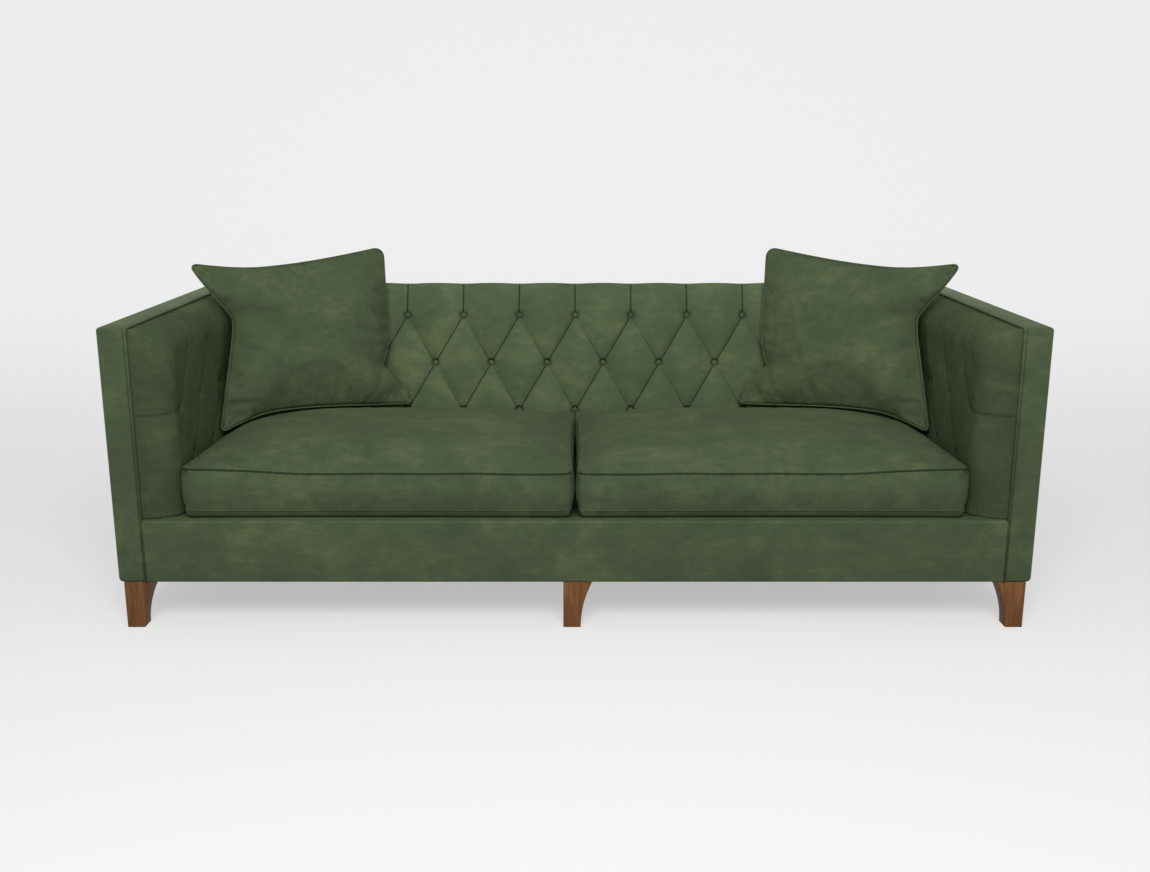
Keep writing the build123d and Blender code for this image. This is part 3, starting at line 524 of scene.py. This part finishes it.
def pad_section(v, rise, foot_lean):
    """A pad's section from its foot (0) over its rolled top (1): its depth, its height and its turn."""
    straight = PAD_TOP - ROLL - PAD_BOTTOM
    whole = straight + ROLL * ROLL_LENGTH
    run = v * whole
    if run < straight:
        z = PAD_BOTTOM + run
        return PAD - max(foot_lean - z, 0) * BACK_RAKE, z, 0.0
    angle = math.pi / 2 * (run - straight) / (whole - straight)
    z = PAD_TOP - ROLL + ROLL * math.sin(angle) + rise * math.sin(2 * angle)
    return PAD * math.cos(angle), z, angle


class SOFA_OT_back_pad(Operator):
    """Makes the back's buttoned cover: diamonds between its buttons, pleats and a swelling crest"""

    bl_idname = "sofa.back_pad"
    bl_label = "Back Pad"

    def execute(self, context):
        buttons = Buttoning(islands("back_buttons"), 0)
        crest_reach, corner_reach = 220 * MM, 70 * MM

        def to_corner(u):
            return (1 - abs(2 * u - 1)) * PAD_X

        def surface(u, v):
            low, high = sizes().arm_crest, sizes().back_crest
            crest = low + (high - low) * smooth_step(to_corner(u) / crest_reach)
            depth, z, angle = pad_section(v, crest, buttons.low)
            point = Vector(((2 * u - 1) * (PAD_X - depth), back_plane(min(z, PAD_TOP)) - depth, z))
            return point, Vector((0, -math.cos(angle), math.sin(angle)))

        def hold(u, v):
            return smooth_step(to_corner(u) / corner_reach) * (1 - smooth_step((v - 0.82) / 0.18))

        def seam(u, v):
            return SEAM_DEPTH * math.exp(-to_corner(u) / SEAM_REACH)

        columns, rows = round(2 * (PAD_X - PAD) / CELL), round((PAD_TOP - PAD_BOTTOM) / CELL)
        bm = cover_sheet(columns, rows, surface, buttons, 0, hold, seam, 1.0)
        close_back(bm, lambda co: Vector((co.x, back_plane(min(co.z, PAD_TOP)), min(co.z, PAD_TOP))))
        # The back's velvet is painted lighter, as if more light fell on it
        make_piece("back_cover_buttoned", bm, "back_pad", material=velvet("raised"))
        return {"FINISHED"}


class SOFA_OT_arm_pads(Operator):
    """Makes the buttoned inside covers of both arms, rolled at the front and on top"""

    bl_idname = "sofa.arm_pads"
    bl_label = "Arm Pads"

    def execute(self, context):
        buttons = Buttoning([c for c in islands("arm_buttons") if c.x > 0], 1)
        # The share of the grid that goes round the front, and about how long an arm is in metres
        turned, arm_run = 0.14, 0.7

        def surface(u, v):
            depth, z, angle = pad_section(v, sizes().arm_crest, PAD_BOTTOM)
            end = back_plane(min(z, PAD_TOP)) - depth
            turn = min(u / turned, 1) * math.pi / 2
            front = ROLL * (1 - math.cos(turn))
            y = ARM_FRONT + front + (end - ARM_FRONT - ROLL) * max(u - turned, 0) / (1 - turned)
            point = Vector((PAD_X - depth * math.sin(turn), y, z))
            level = Vector((-math.sin(turn), -math.cos(turn), 0))
            return point, level * math.cos(angle) + Vector((0, 0, math.sin(angle)))

        def hold(u, v):
            over_top = 1 - 0.7 * smooth_step((v - 0.74) / 0.14) - 0.3 * smooth_step((v - 0.9) / 0.1)
            return 0.5 * over_top * smooth_step(u / 0.012) * smooth_step((1 - u) / 0.1)

        def seam(u, v):
            return SEAM_DEPTH * math.exp(-(1 - u) * arm_run / SEAM_REACH)

        arm_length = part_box("arm_pad_right")[1].y - ARM_FRONT
        columns, rows = round(arm_length / CELL), round((PAD_TOP - PAD_BOTTOM) / CELL)
        bm = cover_sheet(columns, rows, surface, buttons, 1, hold, seam, 0.4)
        close_back(bm, lambda co: Vector((PAD_X, co.y, min(co.z, PAD_TOP))))
        for side, cover in (("left", mirrored(bm)), ("right", bm)):
            node = "arm_pad_" + side
            # The arms' velvet is painted darker, as where less light falls on their insides
            make_piece("arm_cover_buttoned_" + side, cover, node, material=velvet("laid"))
        return {"FINISHED"}


class SOFA_OT_buttons(Operator):
    """Makes the covered buttons, as flattened domes with a tight rim"""

    bl_idname = "sofa.buttons"
    bl_label = "Buttons"

    def execute(self, context):
        # The buttons take the velvet painted lighter on the back and the one painted darker on the arms
        for node, painted_light in (("back_buttons", "raised"), ("arm_buttons", "laid")):
            bm = bmesh.new()
            for centre in islands(node):
                facing = Vector((0, -1, 0))
                if node == "arm_buttons":
                    facing = Vector((-math.copysign(1, centre.x), 0, 0))
                turn = Vector((0, 0, 1)).rotation_difference(facing).to_matrix().to_4x4()
                radius = sizes().button
                centre += facing * sizes().button_rise
                dome = Matrix.Diagonal((radius, radius, radius * 0.55, 1))
                shape = Matrix.Translation(centre) @ turn @ dome
                bmesh.ops.create_uvsphere(bm, u_segments=20, v_segments=10, radius=1, matrix=shape)
            make_piece(node + "_covered", bm, node, material=velvet(painted_light))
        return {"FINISHED"}


class SOFA_OT_borders(Operator):
    """Makes the padded strips: up each arm and along its top, along the back's top and under the seat"""

    bl_idname = "sofa.borders"
    bl_label = "Borders"

    def execute(self, context):
        edge = sizes().edge
        low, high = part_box("arm_border_right")
        post_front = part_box("outside_arm_cover_right")[0].y
        frame_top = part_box("outside_arm_cover_right")[1].z
        bm = extruded_outline(self.bracket(low, high, post_front, frame_top), low.x, high.x)
        corner = [e for e in bm.edges if all(v.co.x > high.x - MM and v.co.z < low.z + MM for v in e.verts)]
        round_edges(bm, corner, 1.5 * edge)
        inner = {v for v in bm.verts if v.co.y > post_front - MM and v.co.z < frame_top + MM}
        hidden = {e for e in bm.edges if inner.issuperset(e.verts)}
        keen = [e for e in bm.edges if e not in hidden and e.calc_face_angle() > math.radians(50)]
        round_edges(bm, keen, edge)
        make_piece("arm_border_left_padded", mirrored(bm), "arm_border_left", sharp=35)
        make_piece("arm_border_right_padded", bm, "arm_border_right", sharp=35)

        bm = rounded_block(*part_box("back_top_border"), 0.45 * edge)
        make_piece("back_top_border_padded", bm, "back_top_border", sharp=35)

        low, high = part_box("front_border")
        rail_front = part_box("front_rail")[0].y
        deck_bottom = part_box("deck_pad")[0].z
        bm = extruded_outline(self.bracket(low, high, rail_front, deck_bottom), low.x, high.x)
        front = {v for v in bm.verts if v.co.y < low.y + MM}
        level = [e for e in bm.edges if front.issuperset(e.verts) and e.calc_length() > high.x]
        round_edges(bm, level, 0.8 * edge)
        make_piece("front_border_padded", bm, "front_border", sharp=35)
        return {"FINISHED"}

    def bracket(self, low, high, back, under):
        """An outline in (y, z): a wall up the front, and a lip that runs back along its top."""
        wall = [(low.y, low.z), (low.y, high.z), (high.y, high.z)]
        return wall + [(high.y, under), (back, under), (back, low.z)]


class SOFA_OT_outside_covers(Operator):
    """Makes the plain covers on the outside of the arms and the back"""

    bl_idname = "sofa.outside_covers"
    bl_label = "Outside Covers"

    def execute(self, context):
        low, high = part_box("outside_arm_cover_right")
        bm = extruded_outline(self.section(high.x, low.x, low.z, high.z), low.y, high.y, axis=1)
        self.turn_under(bm, 0, high.x, low.z)
        left, right = "outside_arm_cover_left", "outside_arm_cover_right"
        make_piece(left + "_pulled_on", mirrored(bm), left, sharp=35)
        make_piece(right + "_pulled_on", bm, right, sharp=35)

        node = "outside_back_cover"
        low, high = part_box(node)
        bm = extruded_outline(self.section(high.y, low.y, low.z, high.z), low.x, high.x)
        self.turn_under(bm, 1, high.y, low.z)
        corners = {v for v in bm.verts if v.co.y > high.y - MM / 10 and abs(v.co.x) > high.x - MM / 10}
        round_edges(bm, [e for e in bm.edges if corners.issuperset(e.verts)], 3 * MM)
        make_piece(node + "_pulled_on", bm, node, sharp=35)
        return {"FINISHED"}

    def section(self, outer, inner, bottom, top):
        """A cover's section, outwards and up: a thin wall with a lip turned in under the frame."""
        lip_end = outer + math.copysign(9 * MM, inner - outer)
        lip_top = bottom + 1.3 * MM
        wall = [(outer, top), (outer, bottom), (lip_end, bottom)]
        return wall + [(lip_end, lip_top), (inner, lip_top), (inner, top)]

    def turn_under(self, bm, axis, outer, bottom):
        """Rounds the edge where the cover turns in under the frame."""
        low = {v for v in bm.verts if abs(v.co[axis] - outer) < MM / 10 and v.co.z < bottom + MM / 10}
        round_edges(bm, [e for e in bm.edges if low.issuperset(e.verts)], 8 * MM, 6)


class SOFA_OT_border_piping(Operator):
    """Makes the one long cord along the inner edge of the borders"""

    bl_idname = "sofa.border_piping"
    bl_label = "Border Piping"

    def execute(self, context):
        low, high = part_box("border_piping")
        radius, proud = sizes().piping, 1.5 * MM
        x, back = high.x - radius, high.y - radius
        front, top = low.y + radius - proud, high.z - radius + proud
        left = [(-x, front, low.z), (-x, front, top), (-x, back, top)]
        right = [(x, y, z) for _, y, z in reversed(left)]
        bm = cord_mesh([turned_corners(left + right, 9 * MM)], radius, False)
        make_piece("border_piping_cord", bm, "border_piping")
        return {"FINISHED"}


# Loose cushions
def corner_rounded(u, v, share_u, share_v):
    """Moves a point of the square from -1 to 1 so that the square's corners become quarter rounds."""
    du, dv = max(abs(u) - 1 + share_u, 0) / share_u, max(abs(v) - 1 + share_v, 0) / share_v
    if du == 0 or dv == 0:
        return u, v
    scale = max(du, dv) / math.hypot(du, dv)
    round_u = 1 - share_u + share_u * du * scale
    round_v = 1 - share_v + share_v * dv * scale
    return math.copysign(round_u, u), math.copysign(round_v, v)


def cut_along(bm, axis, cuts):
    edges = [e for e in bm.edges if abs((e.verts[1].co - e.verts[0].co).normalized()[axis]) > 0.99]
    bmesh.ops.subdivide_edges(bm, edges=edges, cuts=cuts, use_grid_fill=True)


def inflate(bm, held, pressure, slack, cap):
    """Blows up a bmesh as cloth: held vertices stay, and the rest swell by no more than the cap."""
    mesh = bpy.data.meshes.new("cloth")
    bm.to_mesh(mesh)
    cloth = bpy.data.objects.new("cloth", mesh)
    bpy.context.collection.objects.link(cloth)
    cloth.vertex_groups.new(name="held").add(held, 1.0, "REPLACE")
    modifier = cloth.modifiers.new("cloth", "CLOTH")
    settings = modifier.settings
    settings.quality = 5
    settings.mass = 0.3
    settings.tension_stiffness = settings.compression_stiffness = 15
    settings.shear_stiffness = 5
    settings.bending_stiffness = 0.6
    settings.air_damping = 2
    settings.use_pressure = True
    settings.uniform_pressure_force = pressure
    settings.shrink_min = settings.shrink_max = -slack
    settings.vertex_group_mass = "held"
    settings.effector_weights.gravity = 0
    last_frame = 20
    modifier.point_cache.frame_start = 1
    modifier.point_cache.frame_end = last_frame
    for number in range(1, last_frame + 1):
        bpy.context.scene.frame_set(number)
    shaped = cloth.evaluated_get(bpy.context.evaluated_depsgraph_get()).data
    bm.verts.ensure_lookup_table()
    for vert, moved in zip(bm.verts, shaped.vertices):
        step = moved.co - vert.co
        vert.co += step * min(1, cap / max(step.length, 1e-9))
    bpy.context.scene.frame_set(1)
    bpy.data.objects.remove(cloth)
    bpy.data.meshes.remove(mesh)


def make_both(kind, bm, cord, modelled):
    """Makes the left and right cushions of a kind, from the cover and the cord modelled on one side."""
    for side in SIDES:
        body = kind + "_cushion_" + side
        cover, trim = (bm.copy(), cord.copy()) if side == modelled else (mirrored(bm), mirrored(cord))
        make_piece(body + "_cover", cover, kind + "_cover_" + side, body)
        make_piece(body + "_piping", trim, kind + "_piping_" + side, body)
    bm.free()
    cord.free()


class SOFA_OT_seat_cushions(Operator):
    """Makes the two loose seat cushions, blown up as cloth between their seams, and their piping"""

    bl_idname = "sofa.seat_cushions"
    bl_label = "Seat Cushions"

    def execute(self, context):
        low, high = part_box("seat_piping_right")
        cad_piping = 3 * MM
        inset = 2 * cad_piping + 0.3 * MM
        half_x, half_y = (high.x - low.x) / 2 - inset, (high.y - low.y) / 2 - inset
        bottom, top = low.z + cad_piping, high.z - cad_piping
        centre = (low + high) / 2
        corner, draw, belly, tuck, lip = 26 * MM, 6 * MM, 5 * MM, 17 * MM, 30 * MM
        crown = sizes().seat_crown

        def plan(u, v):
            round_u, round_v = corner_rounded(u, v, corner / half_x, corner / half_y)
            x = round_u * half_x - math.copysign(draw, u) * abs(u) ** 3 * (1 - v * v)
            y = round_v * half_y - math.copysign(draw, v) * abs(v) ** 3 * (1 - u * u)
            return x, y

        def lift(u, v):
            """The outer front corner is plumped up, and the top seam waves a little."""
            plump = sizes().seat_plump * smooth_step((u - 0.35) / 0.55) * (1 - v) / 2
            return plump + 1.5 * MM * noise.noise(Vector((4 * u, 4 * v, 0.5)))

        cell = 9 * MM
        bm = bmesh.new()
        bmesh.ops.create_cube(bm, size=2)
        cut_along(bm, 0, round(2 * half_x / cell))
        cut_along(bm, 1, round(2 * half_y / cell))
        cut_along(bm, 2, round((top - bottom) / cell))
        bm.verts.ensure_lookup_table()
        bm.verts.index_update()
        held = []
        low_seam = bottom + tuck
        for vert in bm.verts:
            u, v, w = vert.co
            x, y = plan(u, v)
            side = max(abs(u), abs(v)) > 0.999
            if w < -0.999 or (w > 0.999 and side):
                held.append(vert.index)
            z = low_seam + (top + lift(u, v) - low_seam) * (w + 1) / 2
            if w > 0.999:
                fall = 3.3 if u > 0 else 3.8
                z += 0.85 * crown * (1 - abs(u) ** fall) * (1 - abs(v) ** 3)
            elif w < -0.999:
                rim_x, rim_y = (1 - abs(u)) * half_x, (1 - abs(v)) * half_y
                z -= (tuck + 2 * MM) * math.sqrt(1 - (1 - min(min(rim_x, rim_y) / (22 * MM), 1)) ** 2)
                x += math.copysign(max(rim_x - rim_x**2 / lip, 0), u)
                y += math.copysign(max(rim_y - rim_y**2 / lip, 0), v)
            elif side:
                out = belly * (1 - w * w)
                x += math.copysign(out, u) if abs(u) > 0.999 else 0
                y += math.copysign(out, v) if abs(v) > 0.999 else 0
            vert.co = (centre.x + x, centre.y + y, z)
        inflate(bm, held, 4, 0.02, 12 * MM)
        loops = [[], []]
        for u, v in square_ring(240):
            x, y = plan(u, v)
            loops[0].append((centre.x + x, centre.y + y, low_seam))
            loops[1].append((centre.x + x, centre.y + y, top + lift(u, v)))
        cords = cord_mesh(loops, sizes().seam_cord, True)
        # The top seam sinks between two plump panels; its cord's front run is painted with shade as a dark
        # line, the top cord's strongly and the low cord's a little.
        line, hold = (cords.verts.layers.float.new(name) for name in PLEAT_LAYERS[:2])
        for vert in cords.verts:
            at_front = vert.co.y < low.y + 26 * MM
            vert[line] = 0.5
            vert[hold] = at_front * (0.75 if vert.co.z > top - 12 * MM else 0.3)
        make_both("seat", bm, cords, "right")
        return {"FINISHED"}


def square_ring(count):
    """Points round the rim of the square from -1 to 1."""
    for i in range(count):
        side, along = i * 4 // count, 2 * (i * 4 / count % 1) - 1
        yield [(along, -1), (1, along), (-along, 1), (-1, -along)][side]


def drawn(t, depth, peak, before, after, blunt):
    """How far an edge is drawn in, a share along it: most at the peak, and none at its ends.
    A small blunt makes the peak a notch, and a large one a wide curve."""
    share = min(max(t / peak if t < peak else (1 - t) / (1 - peak), 0), 1)
    share = 1 - (math.hypot(1 - share, blunt) - blunt) / (math.hypot(1, blunt) - blunt)
    return depth * max(share, 0) ** (before if t < peak else after)


class SOFA_OT_scatter_cushions(Operator):
    """Makes the two scatter cushions, knife-edged and drawn in between their corners, and their piping"""

    bl_idname = "sofa.scatter_cushions"
    bl_label = "Scatter Cushions"

    def execute(self, context):
        width, height, bulge = sizes().scatter_width, sizes().scatter_height, sizes().scatter_bulge
        centre, along, up = self.lie("scatter_filling_left")
        out = along.cross(up)

        def edge(side, t):
            """A point of one edge in the cushion's plane: its lower, inner, upper or outer edge."""
            if side == "lower":
                return Vector((t * width, drawn(t, 39 * MM, 0.28, 0.9, 1.2, 0.5)))
            if side == "upper":
                return Vector((t * width, height - drawn(t, 29 * MM, 0.36, 1.0, 1.0, 0.8)))
            if side == "inner":
                pinch = 26 * MM * max(1 - abs(t - 0.26) / 0.16, 0) ** 1.4
                return Vector((width - drawn(t, 46 * MM, 0.26, 1.5, 1.0, 0.06) - pinch, t * height))
            return Vector((drawn(t, 90 * MM, 0.65, 1.05, 1.2, 0.1), t * height))

        def lay(u, v, lift):
            """A point of the cushion, from shares of -1 to 1 across and up it and a lift off its plane."""
            turn = 1.5 if u > 0 and v > 0 else 1.0
            u, v = corner_rounded(u, v, 0.075 * turn, 0.09 * turn)
            s, t = (u + 1) / 2, (v + 1) / 2
            flat = edge("lower", s) * (1 - t) + edge("upper", s) * t
            flat += edge("outer", t) * (1 - s) + edge("inner", t) * s
            flat -= Vector((s * width, t * height))
            return centre + along * (flat.x - width / 2) + up * (flat.y - height / 2) + out * lift

        bm = bmesh.new()
        cells = 84
        for face in (1, -1):
            rows = round(cells * height / width)
            sheet = bmesh.ops.create_grid(bm, x_segments=cells, y_segments=rows, size=1)
            for vert in sheet["verts"]:
                u, v, _ = vert.co
                lift = face * 0.75 * bulge * (max(1 - u**4, 0) * max(1 - v**4, 0)) ** 0.6
                vert.co = lay(u, v, lift)
        bmesh.ops.remove_doubles(bm, verts=bm.verts, dist=MM / 10)
        face_outwards(bm)
        bm.verts.ensure_lookup_table()
        bm.verts.index_update()
        held = [v.index for v in bm.verts if abs((v.co - centre).dot(out)) < MM / 10]
        inflate(bm, held, 4, 0.03, 26 * MM)
        self.wrinkle(bm, lay(1, -0.48, 0), out, -along)
        self.flatten_ear(bm, lay(1, -1, 0), out)
        cord = cord_mesh([[lay(u, v, 0) for u, v in square_ring(280)]], sizes().scatter_piping, True)
        make_both("scatter", bm, cord, "left")
        return {"FINISHED"}

    def wrinkle(self, bm, root, out, ahead):
        """Soft folds that fan out from the notch in a cushion's inner edge, and die away."""
        for vert in bm.verts:
            arm = vert.co - root
            flat = arm - out * arm.dot(out)
            share = flat.length / (45 * MM)
            fan = math.cos(5 * flat.angle(ahead, 0.0))
            fold = out * math.copysign(1.3 * MM, arm.dot(out))
            vert.co -= fold * (0.5 - 0.5 * fan) * share * math.exp(1 - share)

    def flatten_ear(self, bm, tip, out):
        """Thins a cushion towards its lower inner corner, where the ear has no filling and lies flat."""
        for vert in bm.verts:
            arm = vert.co - tip
            lift = arm.dot(out)
            near = smooth_step(1 - (arm - out * lift).length / (150 * MM))
            vert.co -= out * lift * 0.45 * near

    def lie(self, node):
        """How a scatter cushion leans: its centre, the direction of its lower edge and the one up it."""
        points = {tuple(round(c, 5) for c in v.co) for v in frame["nodes"][node].data.vertices}
        points = [Vector(p) for p in points]
        centre = sum(points, Vector()) / len(points)
        rim = sorted(points, key=lambda p: (p - centre).length)[-4:]
        low_pair = sorted(sorted(rim, key=lambda p: p.z)[:2], key=lambda p: p.x)
        high_pair = sorted(sorted(rim, key=lambda p: p.z)[2:], key=lambda p: p.x)
        along = (low_pair[1] - low_pair[0]).normalized()
        up = (high_pair[0] - low_pair[0]).normalized()
        return centre, along, up


# What stays from the frame
class SOFA_OT_feet(Operator):
    """Makes the feet from the frame's own, with their edges eased by sandpaper"""

    bl_idname = "sofa.feet"
    bl_label = "Feet"

    def execute(self, context):
        for node in (n for n in frame["nodes"] if n.startswith("foot_") and n[5:10] in ("front", "rear_")):
            bm = bmesh.new()
            bm.from_mesh(frame["nodes"][node].data)
            bmesh.ops.remove_doubles(bm, verts=bm.verts, dist=MM / 100)
            bmesh.ops.dissolve_limit(bm, angle_limit=math.radians(0.5), verts=bm.verts, edges=bm.edges)
            keen = [e for e in bm.edges if e.is_manifold and e.calc_face_angle() > math.radians(40)]
            round_edges(bm, keen, 1.2 * MM, 2)
            make_piece(node + "_eased", bm, node, material=stained_oak(), sharp=30)
        return {"FINISHED"}


class SOFA_OT_linings(Operator):
    """Makes the cloth stretched over the seat's deck, and the dust cover tacked on under the frame"""

    bl_idname = "sofa.linings"
    bl_label = "Linings"

    def execute(self, context):
        self.stretch("deck_cloth", "deck_cloth", ["deck_pad"], 1 * MM, 0.0)
        self.stretch("dust_cover", "lining", ["front_rail", "rear_rail"], 10 * MM, 4 * MM)
        return {"FINISHED"}

    def stretch(self, node, slot, under, inset, sag):
        low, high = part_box(node)
        width, depth = high.x - low.x - 2 * inset, high.y - low.y - 2 * inset
        thickness = min(high.z - low.z, 1.4 * MM)
        bm = bmesh.new()
        bmesh.ops.create_grid(bm, x_segments=120, y_segments=48, size=1)
        for vert in bm.verts:
            u, v, _ = vert.co
            ease = (1 - u**4) * (1 - v**4)
            drop = ease * (sag + 0.4 * MM * noise.noise(Vector((14 * u, 6 * v, 0.5))))
            vert.co = ((low.x + high.x + u * width) / 2, (low.y + high.y + v * depth) / 2, low.z - drop)
        bmesh.ops.solidify(bm, geom=list(bm.faces), thickness=-thickness)
        face_outwards(bm)
        piece = make_piece(node + "_stretched", bm, node, material=inner_finish(slot), sharp=35)


class SOFA_OT_carcass(Operator):
    """Gives each piece inside the sofa, and under it, its own finish"""

    bl_idname = "sofa.carcass"
    bl_label = "Carcass"

    def execute(self, context):
        for entry in frame["record"]["subparts"]:
            if entry["material_slot"] in INNER_FINISHES:
                node = frame["nodes"][entry["node"]]
                node.data.materials.clear()
                node.data.materials.append(inner_finish(entry["material_slot"]))
        return {"FINISHED"}


# Stage
class SOFA_OT_stage(Operator):
    """Makes the pale floor that curves up into a backdrop, the soft lights and the camera"""

    bl_idname = "sofa.stage"
    bl_label = "Stage"

    def execute(self, context):
        scene = bpy.context.scene
        scene.view_settings.view_transform = "Standard"
        bm = bmesh.new()
        near, far, tall, bend, half_width, steps = -9.0, 4.5, 7.0, 2.5, 12, 12
        profile = [(near, 0.0)]
        for i in range(steps + 1):
            angle = math.pi / 2 * i / steps
            profile.append((far - bend + bend * math.sin(angle), bend - bend * math.cos(angle)))
        profile.append((far, tall))
        verts = [bm.verts.new((-half_width, y, z)) for y, z in profile]
        edges = [bm.edges.new(pair) for pair in zip(verts, verts[1:])]
        grown = bmesh.ops.extrude_edge_only(bm, edges=edges)["geom"]
        moved = [v for v in grown if isinstance(v, bmesh.types.BMVert)]
        bmesh.ops.translate(bm, vec=(2 * half_width, 0, 0), verts=moved)
        mesh = bpy.data.meshes.new("backdrop")
        bm.to_mesh(mesh)
        bm.free()
        mesh.shade_smooth()
        backdrop = bpy.data.objects.new("backdrop", mesh)
        scene.collection.objects.link(backdrop)
        # Matt paper: seen straight or in a reflection, it is pale and glows a little, as if backlit.
        # What it throws back on the sofa is less, as from a floor far wider than the light.
        material, tree, shader = new_material("matt_paper", Roughness=1.0, Specular_IOR_Level=0.0)
        seen = self.seen(tree)
        tones = {"Factor": seen, "A": linear("#969696"), "B": linear(colours().backdrop)}
        tone = add_node(tree, "Mix", tones, output="Result", data_type="RGBA")
        tree.links.new(tone, shader.inputs["Base Color"])
        place = add_node(tree, "TexCoord", output="Object")
        behind = add_node(tree, "SeparateXYZ", {"Vector": place}, output="Y")
        spread = {"Value": behind, "From Min": 0.6, "From Max": 3.5, "To Min": 0.5, "To Max": 0.8}
        level = add_node(tree, "MapRange", spread)
        share = add_node(tree, "Math", {0: seen, 1: level}, operation="MULTIPLY")
        glow = add_node(tree, "Emission", {"Color": linear("#FAFAFA"), "Strength": 1.0})
        inputs = {"Fac": share, 1: shader.outputs["BSDF"], 2: glow}
        paper = add_node(tree, "MixShader", inputs)
        tree.links.new(paper, tree.nodes["Material Output"].inputs["Surface"])
        mesh.materials.append(material)

        # The room lights the sofa from all sides, and has the paper's tone where it shows past the paper.
        world = bpy.data.worlds.new("studio")
        world.use_nodes = True
        room = world.node_tree
        tones = {"Factor": self.seen(room), "A": linear("#FFFFFF", 0.37), "B": linear(colours().backdrop)}
        tone = add_node(room, "Mix", tones, output="Result", data_type="RGBA")
        room.links.new(tone, room.nodes["Background"].inputs["Color"])
        scene.world = world
        self.lamp("key", (0, -4.0, 3.5), (0, 0.1, 0.5), (3.0, 2.0), 181)
        # The lamps that fill in the sofa's outside leave the paper alone, so it stays even.
        sofa_only = bpy.data.collections.new("sofa_only")
        sofa_only.objects.link(backdrop)
        sofa_only.collection_objects[0].light_linking.link_state = "EXCLUDE"
        fills = [
            self.lamp("back", (0, 4.0, 1.9), (0, 0.4, 0.45), (4.0, 1.2), 90),
            self.lamp("left", (-4.6, 0, 1.3), (-1.1, 0, 0.4), (1.5, 1.5), 50),
            self.lamp("right", (4.6, 0, 1.3), (1.1, 0, 0.4), (1.5, 1.5), 50),
        ]
        for lamp in fills:
            lamp.light_linking.receiver_collection = sofa_only

        # The camera stands where the photograph was taken from, with its lens and downward tilt.
        eye, tilt = (0, -3.340, 1.196), 13.62
        data = bpy.data.cameras.new("camera")
        data.lens = 37.73
        data.sensor_width = 36
        data.sensor_fit = "HORIZONTAL"
        camera = bpy.data.objects.new("camera", data)
        camera.location = eye
        camera.rotation_euler = (math.radians(90 - tilt), 0, 0)
        scene.collection.objects.link(camera)
        scene.camera = camera
        return {"FINISHED"}

    def seen(self, tree):
        """A socket: 1 for what the eye sees, straight or in a reflection, and 0 for light on the sofa."""
        seen = add_node(tree, "LightPath", output="Is Camera Ray")
        rays = seen.node.outputs
        for kind in ("Is Glossy Ray", "Is Transmission Ray"):
            seen = add_node(tree, "Math", {0: seen, 1: rays[kind]}, operation="MAXIMUM")
        return seen

    def lamp(self, name, place, target, size, watts):
        data = bpy.data.lights.new(name, "AREA")
        data.shape = "RECTANGLE"
        data.size, data.size_y = size
        data.energy = watts
        lamp = bpy.data.objects.new(name, data)
        lamp.visible_camera = False
        lamp.location = place
        lamp.rotation_euler = (Vector(target) - Vector(place)).to_track_quat("-Z", "Y").to_euler()
        bpy.context.scene.collection.objects.link(lamp)
        return lamp


class SOFA_PT_panel(Panel):
    """Lists the sofa's pieces, sizes and colours"""

    bl_idname = "SOFA_PT_panel"
    bl_label = "Sofa"
    bl_space_type = "VIEW_3D"
    bl_region_type = "UI"
    bl_category = "Sofa"

    def draw(self, context):
        for operator in OPERATORS:
            self.layout.operator(operator.bl_idname)
        for group in (context.scene.sofa_sizes, context.scene.sofa_colours):
            for name in group.__annotations__:
                self.layout.prop(group, name)


OPERATORS = (
    SOFA_OT_back_pad,
    SOFA_OT_arm_pads,
    SOFA_OT_buttons,
    SOFA_OT_borders,
    SOFA_OT_outside_covers,
    SOFA_OT_border_piping,
    SOFA_OT_seat_cushions,
    SOFA_OT_scatter_cushions,
    SOFA_OT_feet,
    SOFA_OT_linings,
    SOFA_OT_carcass,
    SOFA_OT_stage,
)
CLASSES = (SofaSizes, SofaColours, *OPERATORS, SOFA_PT_panel)


def register():
    for cls in CLASSES:
        bpy.utils.register_class(cls)
    bpy.types.Scene.sofa_sizes = PointerProperty(type=SofaSizes)
    bpy.types.Scene.sofa_colours = PointerProperty(type=SofaColours)


def unregister():
    del bpy.types.Scene.sofa_colours
    del bpy.types.Scene.sofa_sizes
    for cls in reversed(CLASSES):
        bpy.utils.unregister_class(cls)


def main():
    register()
    for operator in OPERATORS:
        group, name = operator.bl_idname.split(".")
        getattr(getattr(bpy.ops, group), name)()


if __name__ == "__main__":
    main()
